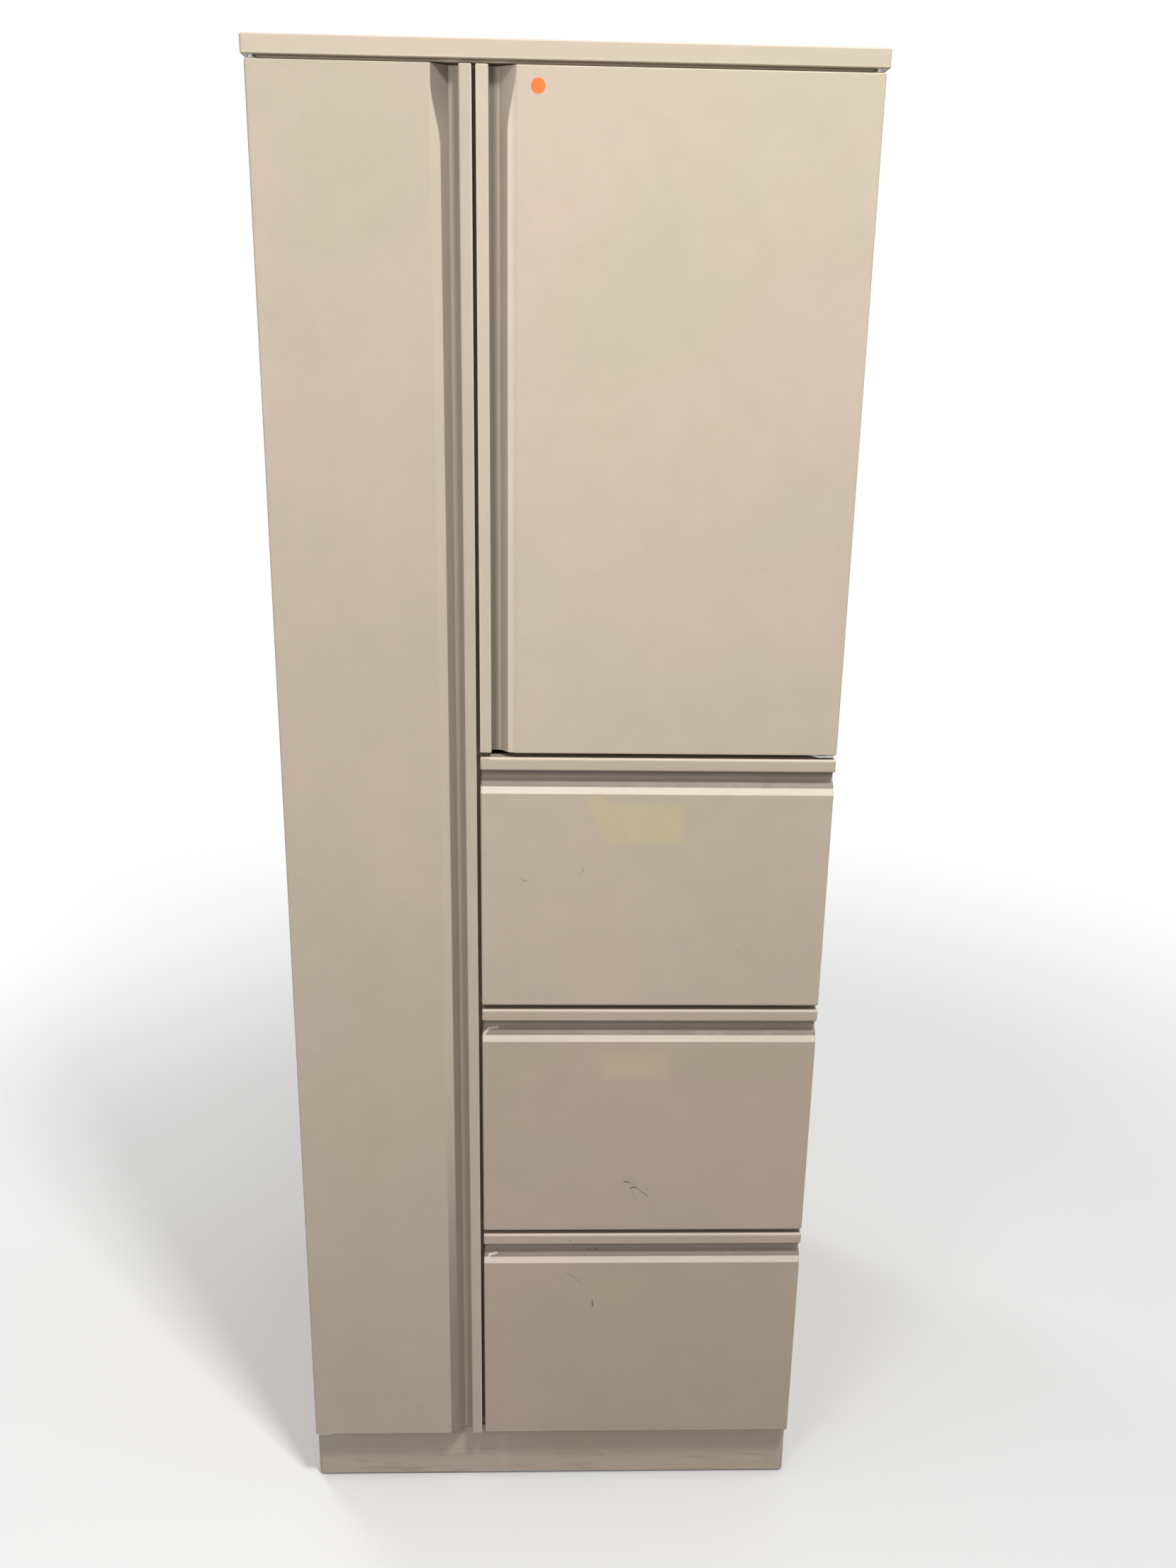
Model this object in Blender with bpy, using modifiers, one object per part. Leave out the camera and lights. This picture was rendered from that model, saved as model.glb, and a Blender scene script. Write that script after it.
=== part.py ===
"""Steel storage tower: a narrow wardrobe door on the left, an upper door and three file
drawers on the right, under a flat cap and over a recessed base.

Metres, +Z up. X runs left to right, the fronts face -Y, and the origin is on the floor
under the middle of the cabinet.
"""
import math

import bmesh
import bpy
from mathutils import Matrix, Vector

# Overall sizes
CARCASS_WIDTH = 0.6096
OVERALL_DEPTH = 0.6096
WARDROBE_BAY = 0.2159
BASE_HEIGHT = 0.08255
DRAWER_COUNT = 3
DRAWER_PITCH = 0.3048
UPPER_DOOR_PITCH = 0.67945
CAP_THICKNESS = 0.01905

# Sheet and clearances
SHEET = 0.0010
HEAVY_SHEET = 0.0012
FIT = 0.0003
FOLD_RADIUS = 0.0020
FOLD_STEPS = 2

# Fronts
FRONT_THICKNESS = 0.0185
FRONT_CLEARANCE = 0.0020
FRONT_SIDE_MARGIN = 0.0010
DOOR_GAP = 0.0035
DRAWER_GAP = 0.0050
CAP_GAP = 0.0020
FRONT_EDGE_RADIUS = 0.0015
FRONT_BACK_LIP = 0.0300

# Pull, folded along one edge of every front: a rib, a flat floor and a swept wall
PULL_RIB = 0.0127
PULL_FLOOR = 0.0121
PULL_WALL = 0.0101
PULL_DEPTH = 0.0120
PULL_RIB_RADIUS = 0.0020
PULL_FOOT_RADIUS = 0.0010
PULL_FLOOR_RADIUS = 0.0030
PULL_BEND_RADIUS = 0.0090

# Inner pans of the doors
PAN_FLANGE = 0.0048

# Cap
CAP_OVERHANG = 0.0022
CAP_PROUD = 0.0020
CAP_LIP = 0.0300
CAP_CORNER_RADIUS = 0.0034
CAP_LOWER_RADIUS = 0.0030
CAP_UPPER_RADIUS = 0.0015

# Carcass
SIDE_THICKNESS = 0.0200
DIVIDER_THICKNESS = 0.0190
BACK_FLANGE = 0.0135
TOP_FLANGE = 0.0300
FLOOR_RISE = 0.0120
FLOOR_LIP = 0.0150
RAIL_DROP = 0.0140
RAIL_DEPTH = 0.0250
KICK_STRIP = 0.0030
KICK_NOTCH = 0.0040
KICK_TOP_RETURN = 0.0150
GLIDE_FLANGE = 0.0450

# Shelves and rod
HAT_SHELF_DROP = 0.2050
HAT_SHELF_FLANGE = 0.0200
HAT_SHELF_SETBACK = 0.0120
ROD_DROP = 0.0550
ROD_RADIUS = 0.0125
ROD_FLANGE_RADIUS = 0.0200
ROD_FLANGE_THICKNESS = 0.0030
SHELF_HEIGHT = 0.3300
SHELF_FLANGE = 0.0180
SHELF_SETBACK = 0.0150
SHELF_REAR_GAP = 0.0140
CLIP_WIDTH = 0.0160
CLIP_LEG = 0.0180
CLIP_TONGUE = 0.0120
CLIP_THICKNESS = 0.0015
CLIP_INSET = 0.0450

# Door pivots and catches
HINGE_INSET = 0.0060
HINGE_DEPTH = 0.0070
PIN_RADIUS = 0.0028
PIN_REACH = 0.0090
PIN_HEAD_RADIUS = 0.0055
PIN_HEAD = 0.0020
BUSH_RADIUS = 0.0045
BUSH_FLANGE_RADIUS = 0.0052
BUSH_FLANGE = 0.0008
BUSH_LENGTH = 0.0080
PIVOT_PLATE = 0.0020
PIVOT_TONGUE = 0.0225
PIVOT_TAIL = 0.0300
CATCH_WIDTH = 0.0140
CATCH_DEPTH = 0.0220
CATCH_HEIGHT = 0.0400
CATCH_DROP = 0.0650

# Drawers and slides
TUB_RISE = 0.0130
TUB_WALL = 0.2380
TUB_LENGTH = 0.5400
TUB_SIDE_RISE = 0.0120
FILE_RAIL_SHELF = 0.0080
FILE_RAIL_LIP = 0.0060
SLIDE_THICKNESS = 0.0127
SLIDE_HEIGHT = 0.0450
SLIDE_PLAY = 0.0005
SLIDE_LENGTH = 0.5350
SLIDE_MIDDLE_LENGTH = 0.5150
SLIDE_SETBACK = 0.0030
SLIDE_RISE = 0.0900

# Levelling glides
GLIDE_EXPOSED = 0.0032
GLIDE_FOOT_RADIUS = 0.0160
GLIDE_STEM_RADIUS = 0.0040
GLIDE_STEM_TOP = 0.0320
GLIDE_INSET = 0.0300

# Places worked out from the sizes
HALF_WIDTH = CARCASS_WIDTH / 2
INNER_X = HALF_WIDTH - SIDE_THICKNESS
SPLIT_X = -HALF_WIDTH + WARDROBE_BAY
DIVIDER_LEFT = SPLIT_X - DIVIDER_THICKNESS / 2
DIVIDER_RIGHT = SPLIT_X + DIVIDER_THICKNESS / 2
FRONT_LEFT = -HALF_WIDTH + FRONT_SIDE_MARGIN
FRONT_RIGHT = HALF_WIDTH - FRONT_SIDE_MARGIN

CAP_FRONT = -OVERALL_DEPTH / 2
CAP_BACK = OVERALL_DEPTH / 2
FACE_Y = CAP_FRONT + CAP_PROUD
FRONT_BACK_Y = FACE_Y + FRONT_THICKNESS
CARCASS_FRONT = FRONT_BACK_Y + FRONT_CLEARANCE
CARCASS_BACK = CAP_BACK - CAP_PROUD
BACK_PANEL_FRONT = CARCASS_BACK - BACK_FLANGE
PANEL_BACK = BACK_PANEL_FRONT - FIT

DRAWERS_TOP = BASE_HEIGHT + DRAWER_COUNT * DRAWER_PITCH
CAP_BOTTOM = DRAWERS_TOP + UPPER_DOOR_PITCH
CAP_TOP = CAP_BOTTOM + CAP_THICKNESS
CARCASS_TOP = CAP_BOTTOM - FIT
DOOR_TOP = CAP_BOTTOM - CAP_GAP
PIVOT_DROP = FIT + BUSH_FLANGE + FIT
KICK_TOP = BASE_HEIGHT - PIVOT_DROP - PIVOT_PLATE - FIT

HINGE_Y = FACE_Y + HINGE_DEPTH
LEFT_AXIS = Vector((FRONT_LEFT + HINGE_INSET, HINGE_Y, 0))
RIGHT_AXIS = Vector((FRONT_RIGHT - HINGE_INSET, HINGE_Y, 0))

# Finishes: colour, roughness, metallic
PAINTED = ((0.55, 0.48, 0.37), 0.45, 0)
PAINTED_INSIDE = ((0.50, 0.44, 0.34), 0.5, 0)
ZINC_PLATE = ((0.62, 0.62, 0.60), 0.4, 1)
CHROME = ((0.62, 0.62, 0.60), 0.15, 1)
NYLON = ((0.78, 0.76, 0.70), 0.5, 0)
BLACK_PLASTIC = ((0.03, 0.03, 0.03), 0.45, 0)


def clear_scene():
    for obj in list(bpy.data.objects):
        bpy.data.objects.remove(obj, do_unlink=True)


def make_collection(name):
    collection = bpy.data.collections.new(name)
    bpy.context.scene.collection.children.link(collection)
    return collection


def give_finish(mesh, name, finish):
    """Give a mesh a material of its own."""
    colour, roughness, metallic = finish
    material = bpy.data.materials.new(name + "_finish")
    material.use_nodes = True
    shader = material.node_tree.nodes["Principled BSDF"]
    shader.inputs["Base Color"].default_value = (*colour, 1)
    shader.inputs["Roughness"].default_value = roughness
    shader.inputs["Metallic"].default_value = metallic
    material.diffuse_color = (*colour, 1)
    mesh.materials.append(material)


def make_empty(name, place):
    empty = bpy.data.objects.new(name, None)
    empty.empty_display_size = 0.03
    empty.location = place
    PARTS.objects.link(empty)
    return empty


def add_object(name, shape, finish, body, collection=None):
    """Turn a bmesh in world places into an object that hangs on its body's empty."""
    mesh = bpy.data.meshes.new(name)
    shape.to_mesh(mesh)
    shape.free()
    mesh.transform(Matrix.Translation(-body.location))
    obj = bpy.data.objects.new(name, mesh)
    (collection or PARTS).objects.link(obj)
    obj.parent = body
    give_finish(mesh, name, finish)
    return obj


def fold_edges(obj, radius, steps=FOLD_STEPS):
    bevel = obj.modifiers.new("Folds", "BEVEL")
    bevel.width = radius
    bevel.segments = steps
    bevel.limit_method = "ANGLE"
    bevel.angle_limit = math.radians(40)


def thicken(obj, sheet):
    solidify = obj.modifiers.new("Sheet", "SOLIDIFY")
    solidify.thickness = sheet
    solidify.offset = -1
    solidify.use_even_offset = True


def smooth(obj):
    obj.data.shade_smooth()
    obj.data.set_sharp_from_angle(angle=math.radians(35))


def cut(obj, cutter):
    boolean = obj.modifiers.new("Cut", "BOOLEAN")
    boolean.operation = "DIFFERENCE"
    boolean.solver = "EXACT"
    boolean.object = cutter


def make_cutter(name, shape, body):
    """A shape that is only cut out of, or joined to, another."""
    obj = add_object(name, shape, ZINC_PLATE, body, CUTTERS)
    obj.hide_render = True
    obj.display_type = "WIRE"
    return obj


def upright_cylinder(radius, centre, low, high, sides=20):
    shape = bmesh.new()
    place = Matrix.Translation((centre[0], centre[1], (low + high) / 2))
    bmesh.ops.create_cone(shape, cap_ends=True, segments=sides, radius1=radius,
                          radius2=radius, depth=high - low, matrix=place)
    return shape


def make_hole(name, radius, centre, low, high, body):
    return make_cutter(name, upright_cylinder(radius, centre, low, high), body)


def box_shape(low, high):
    shape = bmesh.new()
    low, high = Vector(low), Vector(high)
    size = high - low
    place = Matrix.Translation((low + high) / 2) @ Matrix.Diagonal((*size, 1))
    bmesh.ops.create_cube(shape, size=1, matrix=place)
    return shape


def open_sides(shape, sides):
    """Delete the faces that look along the directions named, such as '+x' or '-z'."""
    directions = []
    for side in sides:
        direction = Vector()
        direction["xyz".index(side[1])] = 1 if side[0] == "+" else -1
        directions.append(direction)
    shape.normal_update()
    faces = [f for f in shape.faces if any(f.normal.dot(d) > 0.99 for d in directions)]
    bmesh.ops.delete(shape, geom=faces, context="FACES")


def extend_rim(shape, chosen, step):
    """Draw out the open edges that both ends of which pass the test, by one step."""
    edges = [e for e in shape.edges if e.is_boundary and all(chosen(v.co) for v in e.verts)]
    grown = bmesh.ops.extrude_edge_only(shape, edges=edges)
    moved = [g for g in grown["geom"] if isinstance(g, bmesh.types.BMVert)]
    bmesh.ops.translate(shape, verts=moved, vec=step)


def near(value, target):
    return abs(value - target) < 1e-5


def sheet_box(name, low, high, sides, body, finish=PAINTED, sheet=SHEET, radius=FOLD_RADIUS):
    """A folded sheet part: a box that lacks the sides named, thickened inwards."""
    shape = box_shape(low, high)
    open_sides(shape, sides)
    obj = add_object(name, shape, finish, body)
    fold_edges(obj, radius)
    thicken(obj, sheet)
    return obj


def rounded(corners, steps=4):
    """Points of an outline whose corners, given as (u, v, radius), are turned to arcs."""
    points = []
    count = len(corners)
    for index, (u, v, radius) in enumerate(corners):
        corner = Vector((u, v))
        if radius == 0:
            points.append(corner)
            continue
        before = (Vector(corners[index - 1][:2]) - corner).normalized()
        after = (Vector(corners[(index + 1) % count][:2]) - corner).normalized()
        half = before.angle(after) / 2
        start = corner + before * radius / math.tan(half)
        end = corner + after * radius / math.tan(half)
        centre = corner + (before + after).normalized() * radius / math.sin(half)
        from_centre = start - centre
        turn = from_centre.angle_signed(end - centre)
        for step in range(steps + 1):
            rotation = Matrix.Rotation(-turn * step / steps, 2)
            points.append(centre + rotation @ from_centre)
    return points


def prism_shape(points, length, place):
    """Extrude an outline; place(u, v, w) gives the world place of an outline point."""
    shape = bmesh.new()
    outline = [shape.verts.new(place(p.x, p.y, 0)) for p in points]
    face = shape.faces.new(outline)
    grown = bmesh.ops.extrude_face_region(shape, geom=[face])
    moved = [g for g in grown["geom"] if isinstance(g, bmesh.types.BMVert)]
    bmesh.ops.translate(shape, verts=moved, vec=place(0, 0, length) - place(0, 0, 0))
    bmesh.ops.recalc_face_normals(shape, faces=shape.faces)
    return shape


def front_outline(width):
    """Section of a front across its pull: u runs from the pull's edge, v to the back."""
    wall_foot = PULL_RIB + PULL_FLOOR
    return rounded([
        (0, FRONT_THICKNESS, 0),
        (0, 0, PULL_RIB_RADIUS),
        (PULL_RIB, 0, PULL_RIB_RADIUS),
        (PULL_RIB, PULL_DEPTH, PULL_FOOT_RADIUS),
        (wall_foot, PULL_DEPTH, PULL_FLOOR_RADIUS),
        (wall_foot + PULL_WALL, 0, PULL_BEND_RADIUS),
        (width, 0, FOLD_RADIUS),
        (width, FRONT_THICKNESS, 0),
    ])


def front_skin(name, width, length, place, body, back_lip=0):
    """The folded skin of a door or drawer front, with its pull and its four returns."""
    shape = prism_shape(front_outline(width), length, place)
    shape.normal_update()
    back = [f for f in shape.faces if f.normal.y > 0.99 and near(f.calc_center_median().y, FRONT_BACK_Y)]
    if back_lip:
        bmesh.ops.inset_region(shape, faces=back, thickness=back_lip)
    bmesh.ops.delete(shape, geom=back, context="FACES")
    obj = add_object(name, shape, PAINTED, body)
    fold_edges(obj, FRONT_EDGE_RADIUS)
    thicken(obj, SHEET)
    smooth(obj)
    return obj


def turned(name, profile, place, body, finish, steps=20, ring=False, tilt=None):
    """A turned part: the profile (radius, height) runs from top to bottom outside."""
    shape = bmesh.new()
    verts = [shape.verts.new((radius, 0, height)) for radius, height in profile]
    for first, second in zip(verts, verts[1:]):
        shape.edges.new((first, second))
    if ring:
        shape.edges.new((verts[-1], verts[0]))
    mesh = bpy.data.meshes.new(name)
    shape.to_mesh(mesh)
    shape.free()
    obj = bpy.data.objects.new(name, mesh)
    PARTS.objects.link(obj)
    obj.parent = body
    obj.location = Vector(place) - body.location
    if tilt:
        obj.rotation_euler = tilt
    give_finish(mesh, name, finish)
    screw = obj.modifiers.new("Turn", "SCREW")
    screw.axis = "Z"
    screw.steps = steps
    screw.render_steps = steps
    screw.use_merge_vertices = True
    screw.merge_threshold = 0.00005
    screw.use_smooth_shade = False
    return obj


def make_cap():
    half = HALF_WIDTH + CAP_OVERHANG
    shape = box_shape((-half, CAP_FRONT, CAP_BOTTOM), (half, CAP_BACK, CAP_TOP))
    upright = [e for e in shape.edges if abs(e.verts[0].co.z - e.verts[1].co.z) > CAP_THICKNESS / 2]
    bmesh.ops.bevel(shape, geom=upright, offset=CAP_CORNER_RADIUS, segments=3, profile=0.5,
                    affect="EDGES")
    for level, radius in ((CAP_TOP, CAP_UPPER_RADIUS), (CAP_BOTTOM, CAP_LOWER_RADIUS)):
        rim = [e for e in shape.edges if all(near(v.co.z, level) for v in e.verts)]
        bmesh.ops.bevel(shape, geom=rim, offset=radius, segments=3, profile=0.5, affect="EDGES")
    cap = add_object("top_cap", shape, PAINTED, CABINET)
    thicken(cap, HEAVY_SHEET)
    smooth(cap)
    opening = box_shape((CAP_LIP - half, CAP_FRONT + CAP_LIP, CAP_BOTTOM - CAP_LOWER_RADIUS),
                        (half - CAP_LIP, CAP_BACK - CAP_LIP, CAP_BOTTOM + CAP_THICKNESS / 2))
    cut(cap, make_cutter("cap_opening", opening, CABINET))
    for side, axis in (("left", LEFT_AXIS), ("right", RIGHT_AXIS)):
        hole = make_hole("cap_hole_" + side, PIN_RADIUS + FIT, axis, CAP_BOTTOM - FOLD_RADIUS,
                         CAP_BOTTOM + CAP_THICKNESS / 2, CABINET)
        cut(cap, hole)


def make_carcass():
    for side, outer, inner in (("left", -HALF_WIDTH, -INNER_X), ("right", INNER_X, HALF_WIDTH)):
        sheet_box("side_panel_" + side, (outer, CARCASS_FRONT, GLIDE_EXPOSED),
                  (inner, CARCASS_BACK, CARCASS_TOP), ("+z", "-z"), CABINET)
    sheet_box("centre_divider",
              (DIVIDER_LEFT, CARCASS_FRONT + FOLD_RADIUS + FIT, BASE_HEIGHT + FLOOR_RISE + FIT),
              (DIVIDER_RIGHT, PANEL_BACK - FOLD_RADIUS - FIT, CARCASS_TOP - SHEET - FIT),
              ("+z", "-z"), CABINET)
    sheet_box("top_panel", (-INNER_X + FIT, CARCASS_FRONT, CARCASS_TOP - TOP_FLANGE),
              (INNER_X - FIT, PANEL_BACK, CARCASS_TOP), ("-z", "+x", "-x"), CABINET)
    make_floor("bottom_panel", -INNER_X + FIT, BASE_HEIGHT)
    make_floor("compartment_floor", DIVIDER_RIGHT + FIT, DRAWERS_TOP)
    for number in range(1, DRAWER_COUNT):
        boundary = DRAWERS_TOP - number * DRAWER_PITCH
        sheet_box("rail_under_drawer_" + str(number),
                  (DIVIDER_RIGHT + FIT, CARCASS_FRONT, boundary - RAIL_DROP),
                  (INNER_X - FIT, CARCASS_FRONT + RAIL_DEPTH, boundary + TUB_RISE - FIT),
                  ("+y", "+x", "-x"), CABINET)
    make_base()


def make_floor(name, left, front_edge):
    """A floor pan whose front return comes down over the pivot plate below it."""
    low = (left, CARCASS_FRONT, front_edge - PIVOT_DROP + FIT)
    high = (INNER_X - FIT, PANEL_BACK, front_edge + FLOOR_RISE)
    shape = box_shape(low, high)
    open_sides(shape, ("-z", "+x", "-x"))
    extend_rim(shape, lambda p: near(p.y, low[1]) and near(p.z, low[2]), (0, FLOOR_LIP, 0))
    obj = add_object(name, shape, PAINTED_INSIDE, CABINET)
    thicken(obj, SHEET)


def make_base():
    """The kick plate, which carries the front glides, and the back, which carries the rear ones."""
    reach = INNER_X - FIT
    plate_back = CARCASS_FRONT - FIT
    notched = reach - KICK_NOTCH
    low = (-notched, plate_back - HEAVY_SHEET, GLIDE_EXPOSED)
    high = (notched, low[1] + KICK_TOP_RETURN, KICK_TOP)
    shape = box_shape(low, high)
    open_sides(shape, ("+y", "+x", "-x"))
    extend_rim(shape, lambda p: near(p.y, high[1]) and near(p.z, low[2]),
               (0, GLIDE_FLANGE - KICK_TOP_RETURN, 0))
    overlap = HALF_WIDTH - KICK_STRIP - reach
    for end in (-1, 1):
        for reached, step in ((notched, KICK_NOTCH), (reach, overlap)):
            extend_rim(shape, lambda p: near(p.y, low[1]) and near(p.x, end * reached),
                       (end * step, 0, 0))
    kick = add_object("kick_plate", shape, PAINTED, CABINET)
    thicken(kick, HEAVY_SHEET)

    low = (-reach, BACK_PANEL_FRONT, GLIDE_EXPOSED)
    shape = box_shape(low, (reach, CARCASS_BACK, CARCASS_TOP))
    open_sides(shape, ("-y",))
    extend_rim(shape, lambda p: near(p.y, low[1]) and near(p.z, low[2]),
               (0, BACK_FLANGE - GLIDE_FLANGE, 0))
    back = add_object("back_panel", shape, PAINTED_INSIDE, CABINET)
    thicken(back, HEAVY_SHEET)

    front_row = CARCASS_FRONT + GLIDE_INSET
    rear_row = CARCASS_BACK - GLIDE_INSET
    for row, row_y, carrier in (("front", front_row, kick), ("rear", rear_row, back)):
        for side, sign in (("left", -1), ("right", 1)):
            name = row + "_" + side
            centre = (sign * (reach - GLIDE_INSET), row_y)
            hole = make_hole("glide_hole_" + name, GLIDE_STEM_RADIUS + FIT, centre,
                             GLIDE_EXPOSED - FOLD_RADIUS, GLIDE_EXPOSED + FOLD_RADIUS * 2, CABINET)
            cut(carrier, hole)
            foot = GLIDE_EXPOSED - FIT
            profile = [(0, GLIDE_STEM_TOP), (GLIDE_STEM_RADIUS, GLIDE_STEM_TOP),
                       (GLIDE_STEM_RADIUS, foot), (GLIDE_FOOT_RADIUS, foot),
                       (GLIDE_FOOT_RADIUS, 0), (0, 0)]
            turned("levelling_glide_" + name, profile, (*centre, 0), CABINET, ZINC_PLATE)


def make_wardrobe_fittings():
    shelf_top = DOOR_TOP - HAT_SHELF_DROP
    left, right = -INNER_X + FIT, DIVIDER_LEFT - FIT
    sheet_box("hat_shelf", (left, CARCASS_FRONT + HAT_SHELF_SETBACK, shelf_top - HAT_SHELF_FLANGE),
              (right, PANEL_BACK, shelf_top), ("-z",), CABINET, PAINTED_INSIDE)
    length = right - left
    profile = [(0, length), (ROD_FLANGE_RADIUS, length),
               (ROD_FLANGE_RADIUS, length - ROD_FLANGE_THICKNESS),
               (ROD_RADIUS, length - ROD_FLANGE_THICKNESS), (ROD_RADIUS, ROD_FLANGE_THICKNESS),
               (ROD_FLANGE_RADIUS, ROD_FLANGE_THICKNESS), (ROD_FLANGE_RADIUS, 0), (0, 0)]
    turned("coat_rod", profile, (left, 0, shelf_top - HAT_SHELF_FLANGE - ROD_DROP), CABINET,
           CHROME, tilt=(0, math.pi / 2, 0))


def make_adjustable_shelf():
    top = DRAWERS_TOP + SHELF_HEIGHT
    under = top - SHELF_FLANGE
    left, right = DIVIDER_RIGHT + 2 * FIT, INNER_X - 2 * FIT
    front, back = CARCASS_FRONT + SHELF_SETBACK, PANEL_BACK - SHELF_REAR_GAP
    sheet_box("adjustable_shelf", (left, front, under), (right, back, top), ("-z",), CABINET,
              PAINTED_INSIDE)
    for side, wall, inward in (("left", DIVIDER_RIGHT + FIT, 1), ("right", INNER_X - FIT, -1)):
        for row, start in (("front", front + CLIP_INSET), ("rear", back - CLIP_INSET - CLIP_WIDTH)):
            corners = [(0, 0), (CLIP_TONGUE, 0), (CLIP_TONGUE, CLIP_THICKNESS),
                       (CLIP_THICKNESS, CLIP_THICKNESS), (CLIP_THICKNESS, CLIP_LEG), (0, CLIP_LEG)]

            def place(u, v, w):
                return Vector((wall + inward * u, start + w, under - FIT - v))

            shape = prism_shape([Vector(c) for c in corners], CLIP_WIDTH, place)
            add_object("shelf_clip_" + row + "_" + side, shape, ZINC_PLATE, CABINET)


def make_pivots(side, axis, inward, door_low, body):
    """The pins that a door turns on, fixed to the cabinet, and the bushes they turn in."""
    head_low = CAP_BOTTOM + HEAVY_SHEET + FIT
    top_profile = [(0, head_low + PIN_HEAD), (PIN_HEAD_RADIUS, head_low + PIN_HEAD),
                   (PIN_HEAD_RADIUS, head_low), (PIN_RADIUS, head_low),
                   (PIN_RADIUS, DOOR_TOP - PIN_REACH), (0, DOOR_TOP - PIN_REACH)]
    turned(side + "_door_top_pivot", top_profile, axis, CABINET, ZINC_PLATE, steps=16)

    plate_top = door_low - PIVOT_DROP
    wall = INNER_X - FIT
    inner_edge = wall - PIVOT_TONGUE
    nose = abs(axis.x) + PIN_RADIUS + FIT
    nose_y = HINGE_Y - PIN_RADIUS - FIT
    front_y = CARCASS_FRONT - FIT
    corners = [(nose, nose_y), (nose, front_y), (wall, front_y), (wall, front_y + PIVOT_TAIL),
               (inner_edge, front_y + PIVOT_TAIL), (inner_edge, front_y), (wall, nose_y)]

    def place(u, v, w):
        return Vector((-inward * u, v, plate_top - PIVOT_PLATE + w))

    shape = prism_shape([Vector(c) for c in corners], PIVOT_PLATE, place)
    plate = add_object(side + "_door_bottom_pivot", shape, ZINC_PLATE, CABINET)
    pin_top = door_low + PIN_REACH
    pin_low = plate_top - PIVOT_PLATE / 2
    pin_shape = upright_cylinder(PIN_RADIUS, axis, pin_low, pin_top, 16)
    pin = make_cutter(side + "_door_bottom_pin", pin_shape, CABINET)
    union = plate.modifiers.new("Pin", "BOOLEAN")
    union.operation = "UNION"
    union.solver = "EXACT"
    union.object = pin

    bore = PIN_RADIUS + FIT
    for end, level, flip in (("top", DOOR_TOP, 0), ("bottom", door_low, math.pi)):
        profile = [(bore, FIT + BUSH_FLANGE), (BUSH_FLANGE_RADIUS, FIT + BUSH_FLANGE),
                   (BUSH_FLANGE_RADIUS, FIT), (BUSH_RADIUS, FIT), (BUSH_RADIUS, -BUSH_LENGTH),
                   (bore, -BUSH_LENGTH)]
        turned(side + "_door_" + end + "_bush", profile, (axis.x, axis.y, level), body,
               NYLON, steps=16, ring=True, tilt=(flip, 0, 0))


def make_door(side, free_edge, outer_edge, axis, door_low, body):
    """One door: an outer skin with the pull on its free edge, and a pan that closes its back."""
    outward = math.copysign(1, outer_edge - free_edge)
    width = abs(outer_edge - free_edge)
    height = DOOR_TOP - door_low

    def place(u, v, w):
        return Vector((free_edge + outward * u, FACE_Y + v, door_low + w))

    skin = front_skin(side + "_door_skin", width, height, place, body)
    for end, level in (("top", DOOR_TOP), ("bottom", door_low)):
        hole = make_hole(side + "_door_hole_" + end, BUSH_RADIUS + FIT, axis,
                         level - FOLD_RADIUS, level + FOLD_RADIUS, body)
        cut(skin, hole)

    wall = SHEET + FIT
    left, right = sorted((free_edge, outer_edge))
    sheet_box(side + "_door_inner_pan",
              (left + wall, FRONT_BACK_Y - PAN_FLANGE, door_low + wall),
              (right - wall, FRONT_BACK_Y, DOOR_TOP - wall), ("-y",), body, PAINTED_INSIDE,
              radius=FOLD_RADIUS / 2)
    make_pivots(side, axis, -outward, door_low, body)


def make_catch(side, wall, outward):
    """A magnetic catch on the divider, which the door's pan meets."""
    near_x, far_x = sorted((wall, wall + outward * CATCH_WIDTH))
    low = DOOR_TOP - CATCH_DROP - CATCH_HEIGHT
    shape = box_shape((near_x, FRONT_BACK_Y + FIT, low),
                      (far_x, FRONT_BACK_Y + FIT + CATCH_DEPTH, low + CATCH_HEIGHT))
    obj = add_object(side + "_door_catch", shape, BLACK_PLASTIC, CABINET)
    fold_edges(obj, FOLD_RADIUS / 2)


def make_slide(name, wall, inward, level, body, middle_body):
    """A full-extension slide: three channels, one inside another, with running play."""
    height = SLIDE_HEIGHT / 2
    inset = HEAVY_SHEET + SLIDE_PLAY
    start = CARCASS_FRONT + SLIDE_SETBACK
    reach = SLIDE_THICKNESS - HEAVY_SHEET
    members = (
        ("cabinet", 0, reach - SLIDE_PLAY, height, SLIDE_LENGTH, True, CABINET),
        ("middle", inset, reach - 2 * SLIDE_PLAY, height - inset, SLIDE_MIDDLE_LENGTH, True,
         middle_body),
        ("inner", 2 * inset, SLIDE_THICKNESS, height - 2 * inset, SLIDE_LENGTH, False, body),
    )
    for part, near_wall, far, half_height, length, opens_inward, owner in members:
        low_x, high_x = sorted((wall + inward * near_wall, wall + inward * far))
        opens_right = opens_inward == (inward > 0)
        sheet_box(name + "_" + part, (low_x, start, level - half_height),
                  (high_x, start + length, level + half_height),
                  ("+x" if opens_right else "-x", "+y", "-y"), owner, ZINC_PLATE,
                  sheet=HEAVY_SHEET, radius=FOLD_RADIUS * 0.75)


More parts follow.
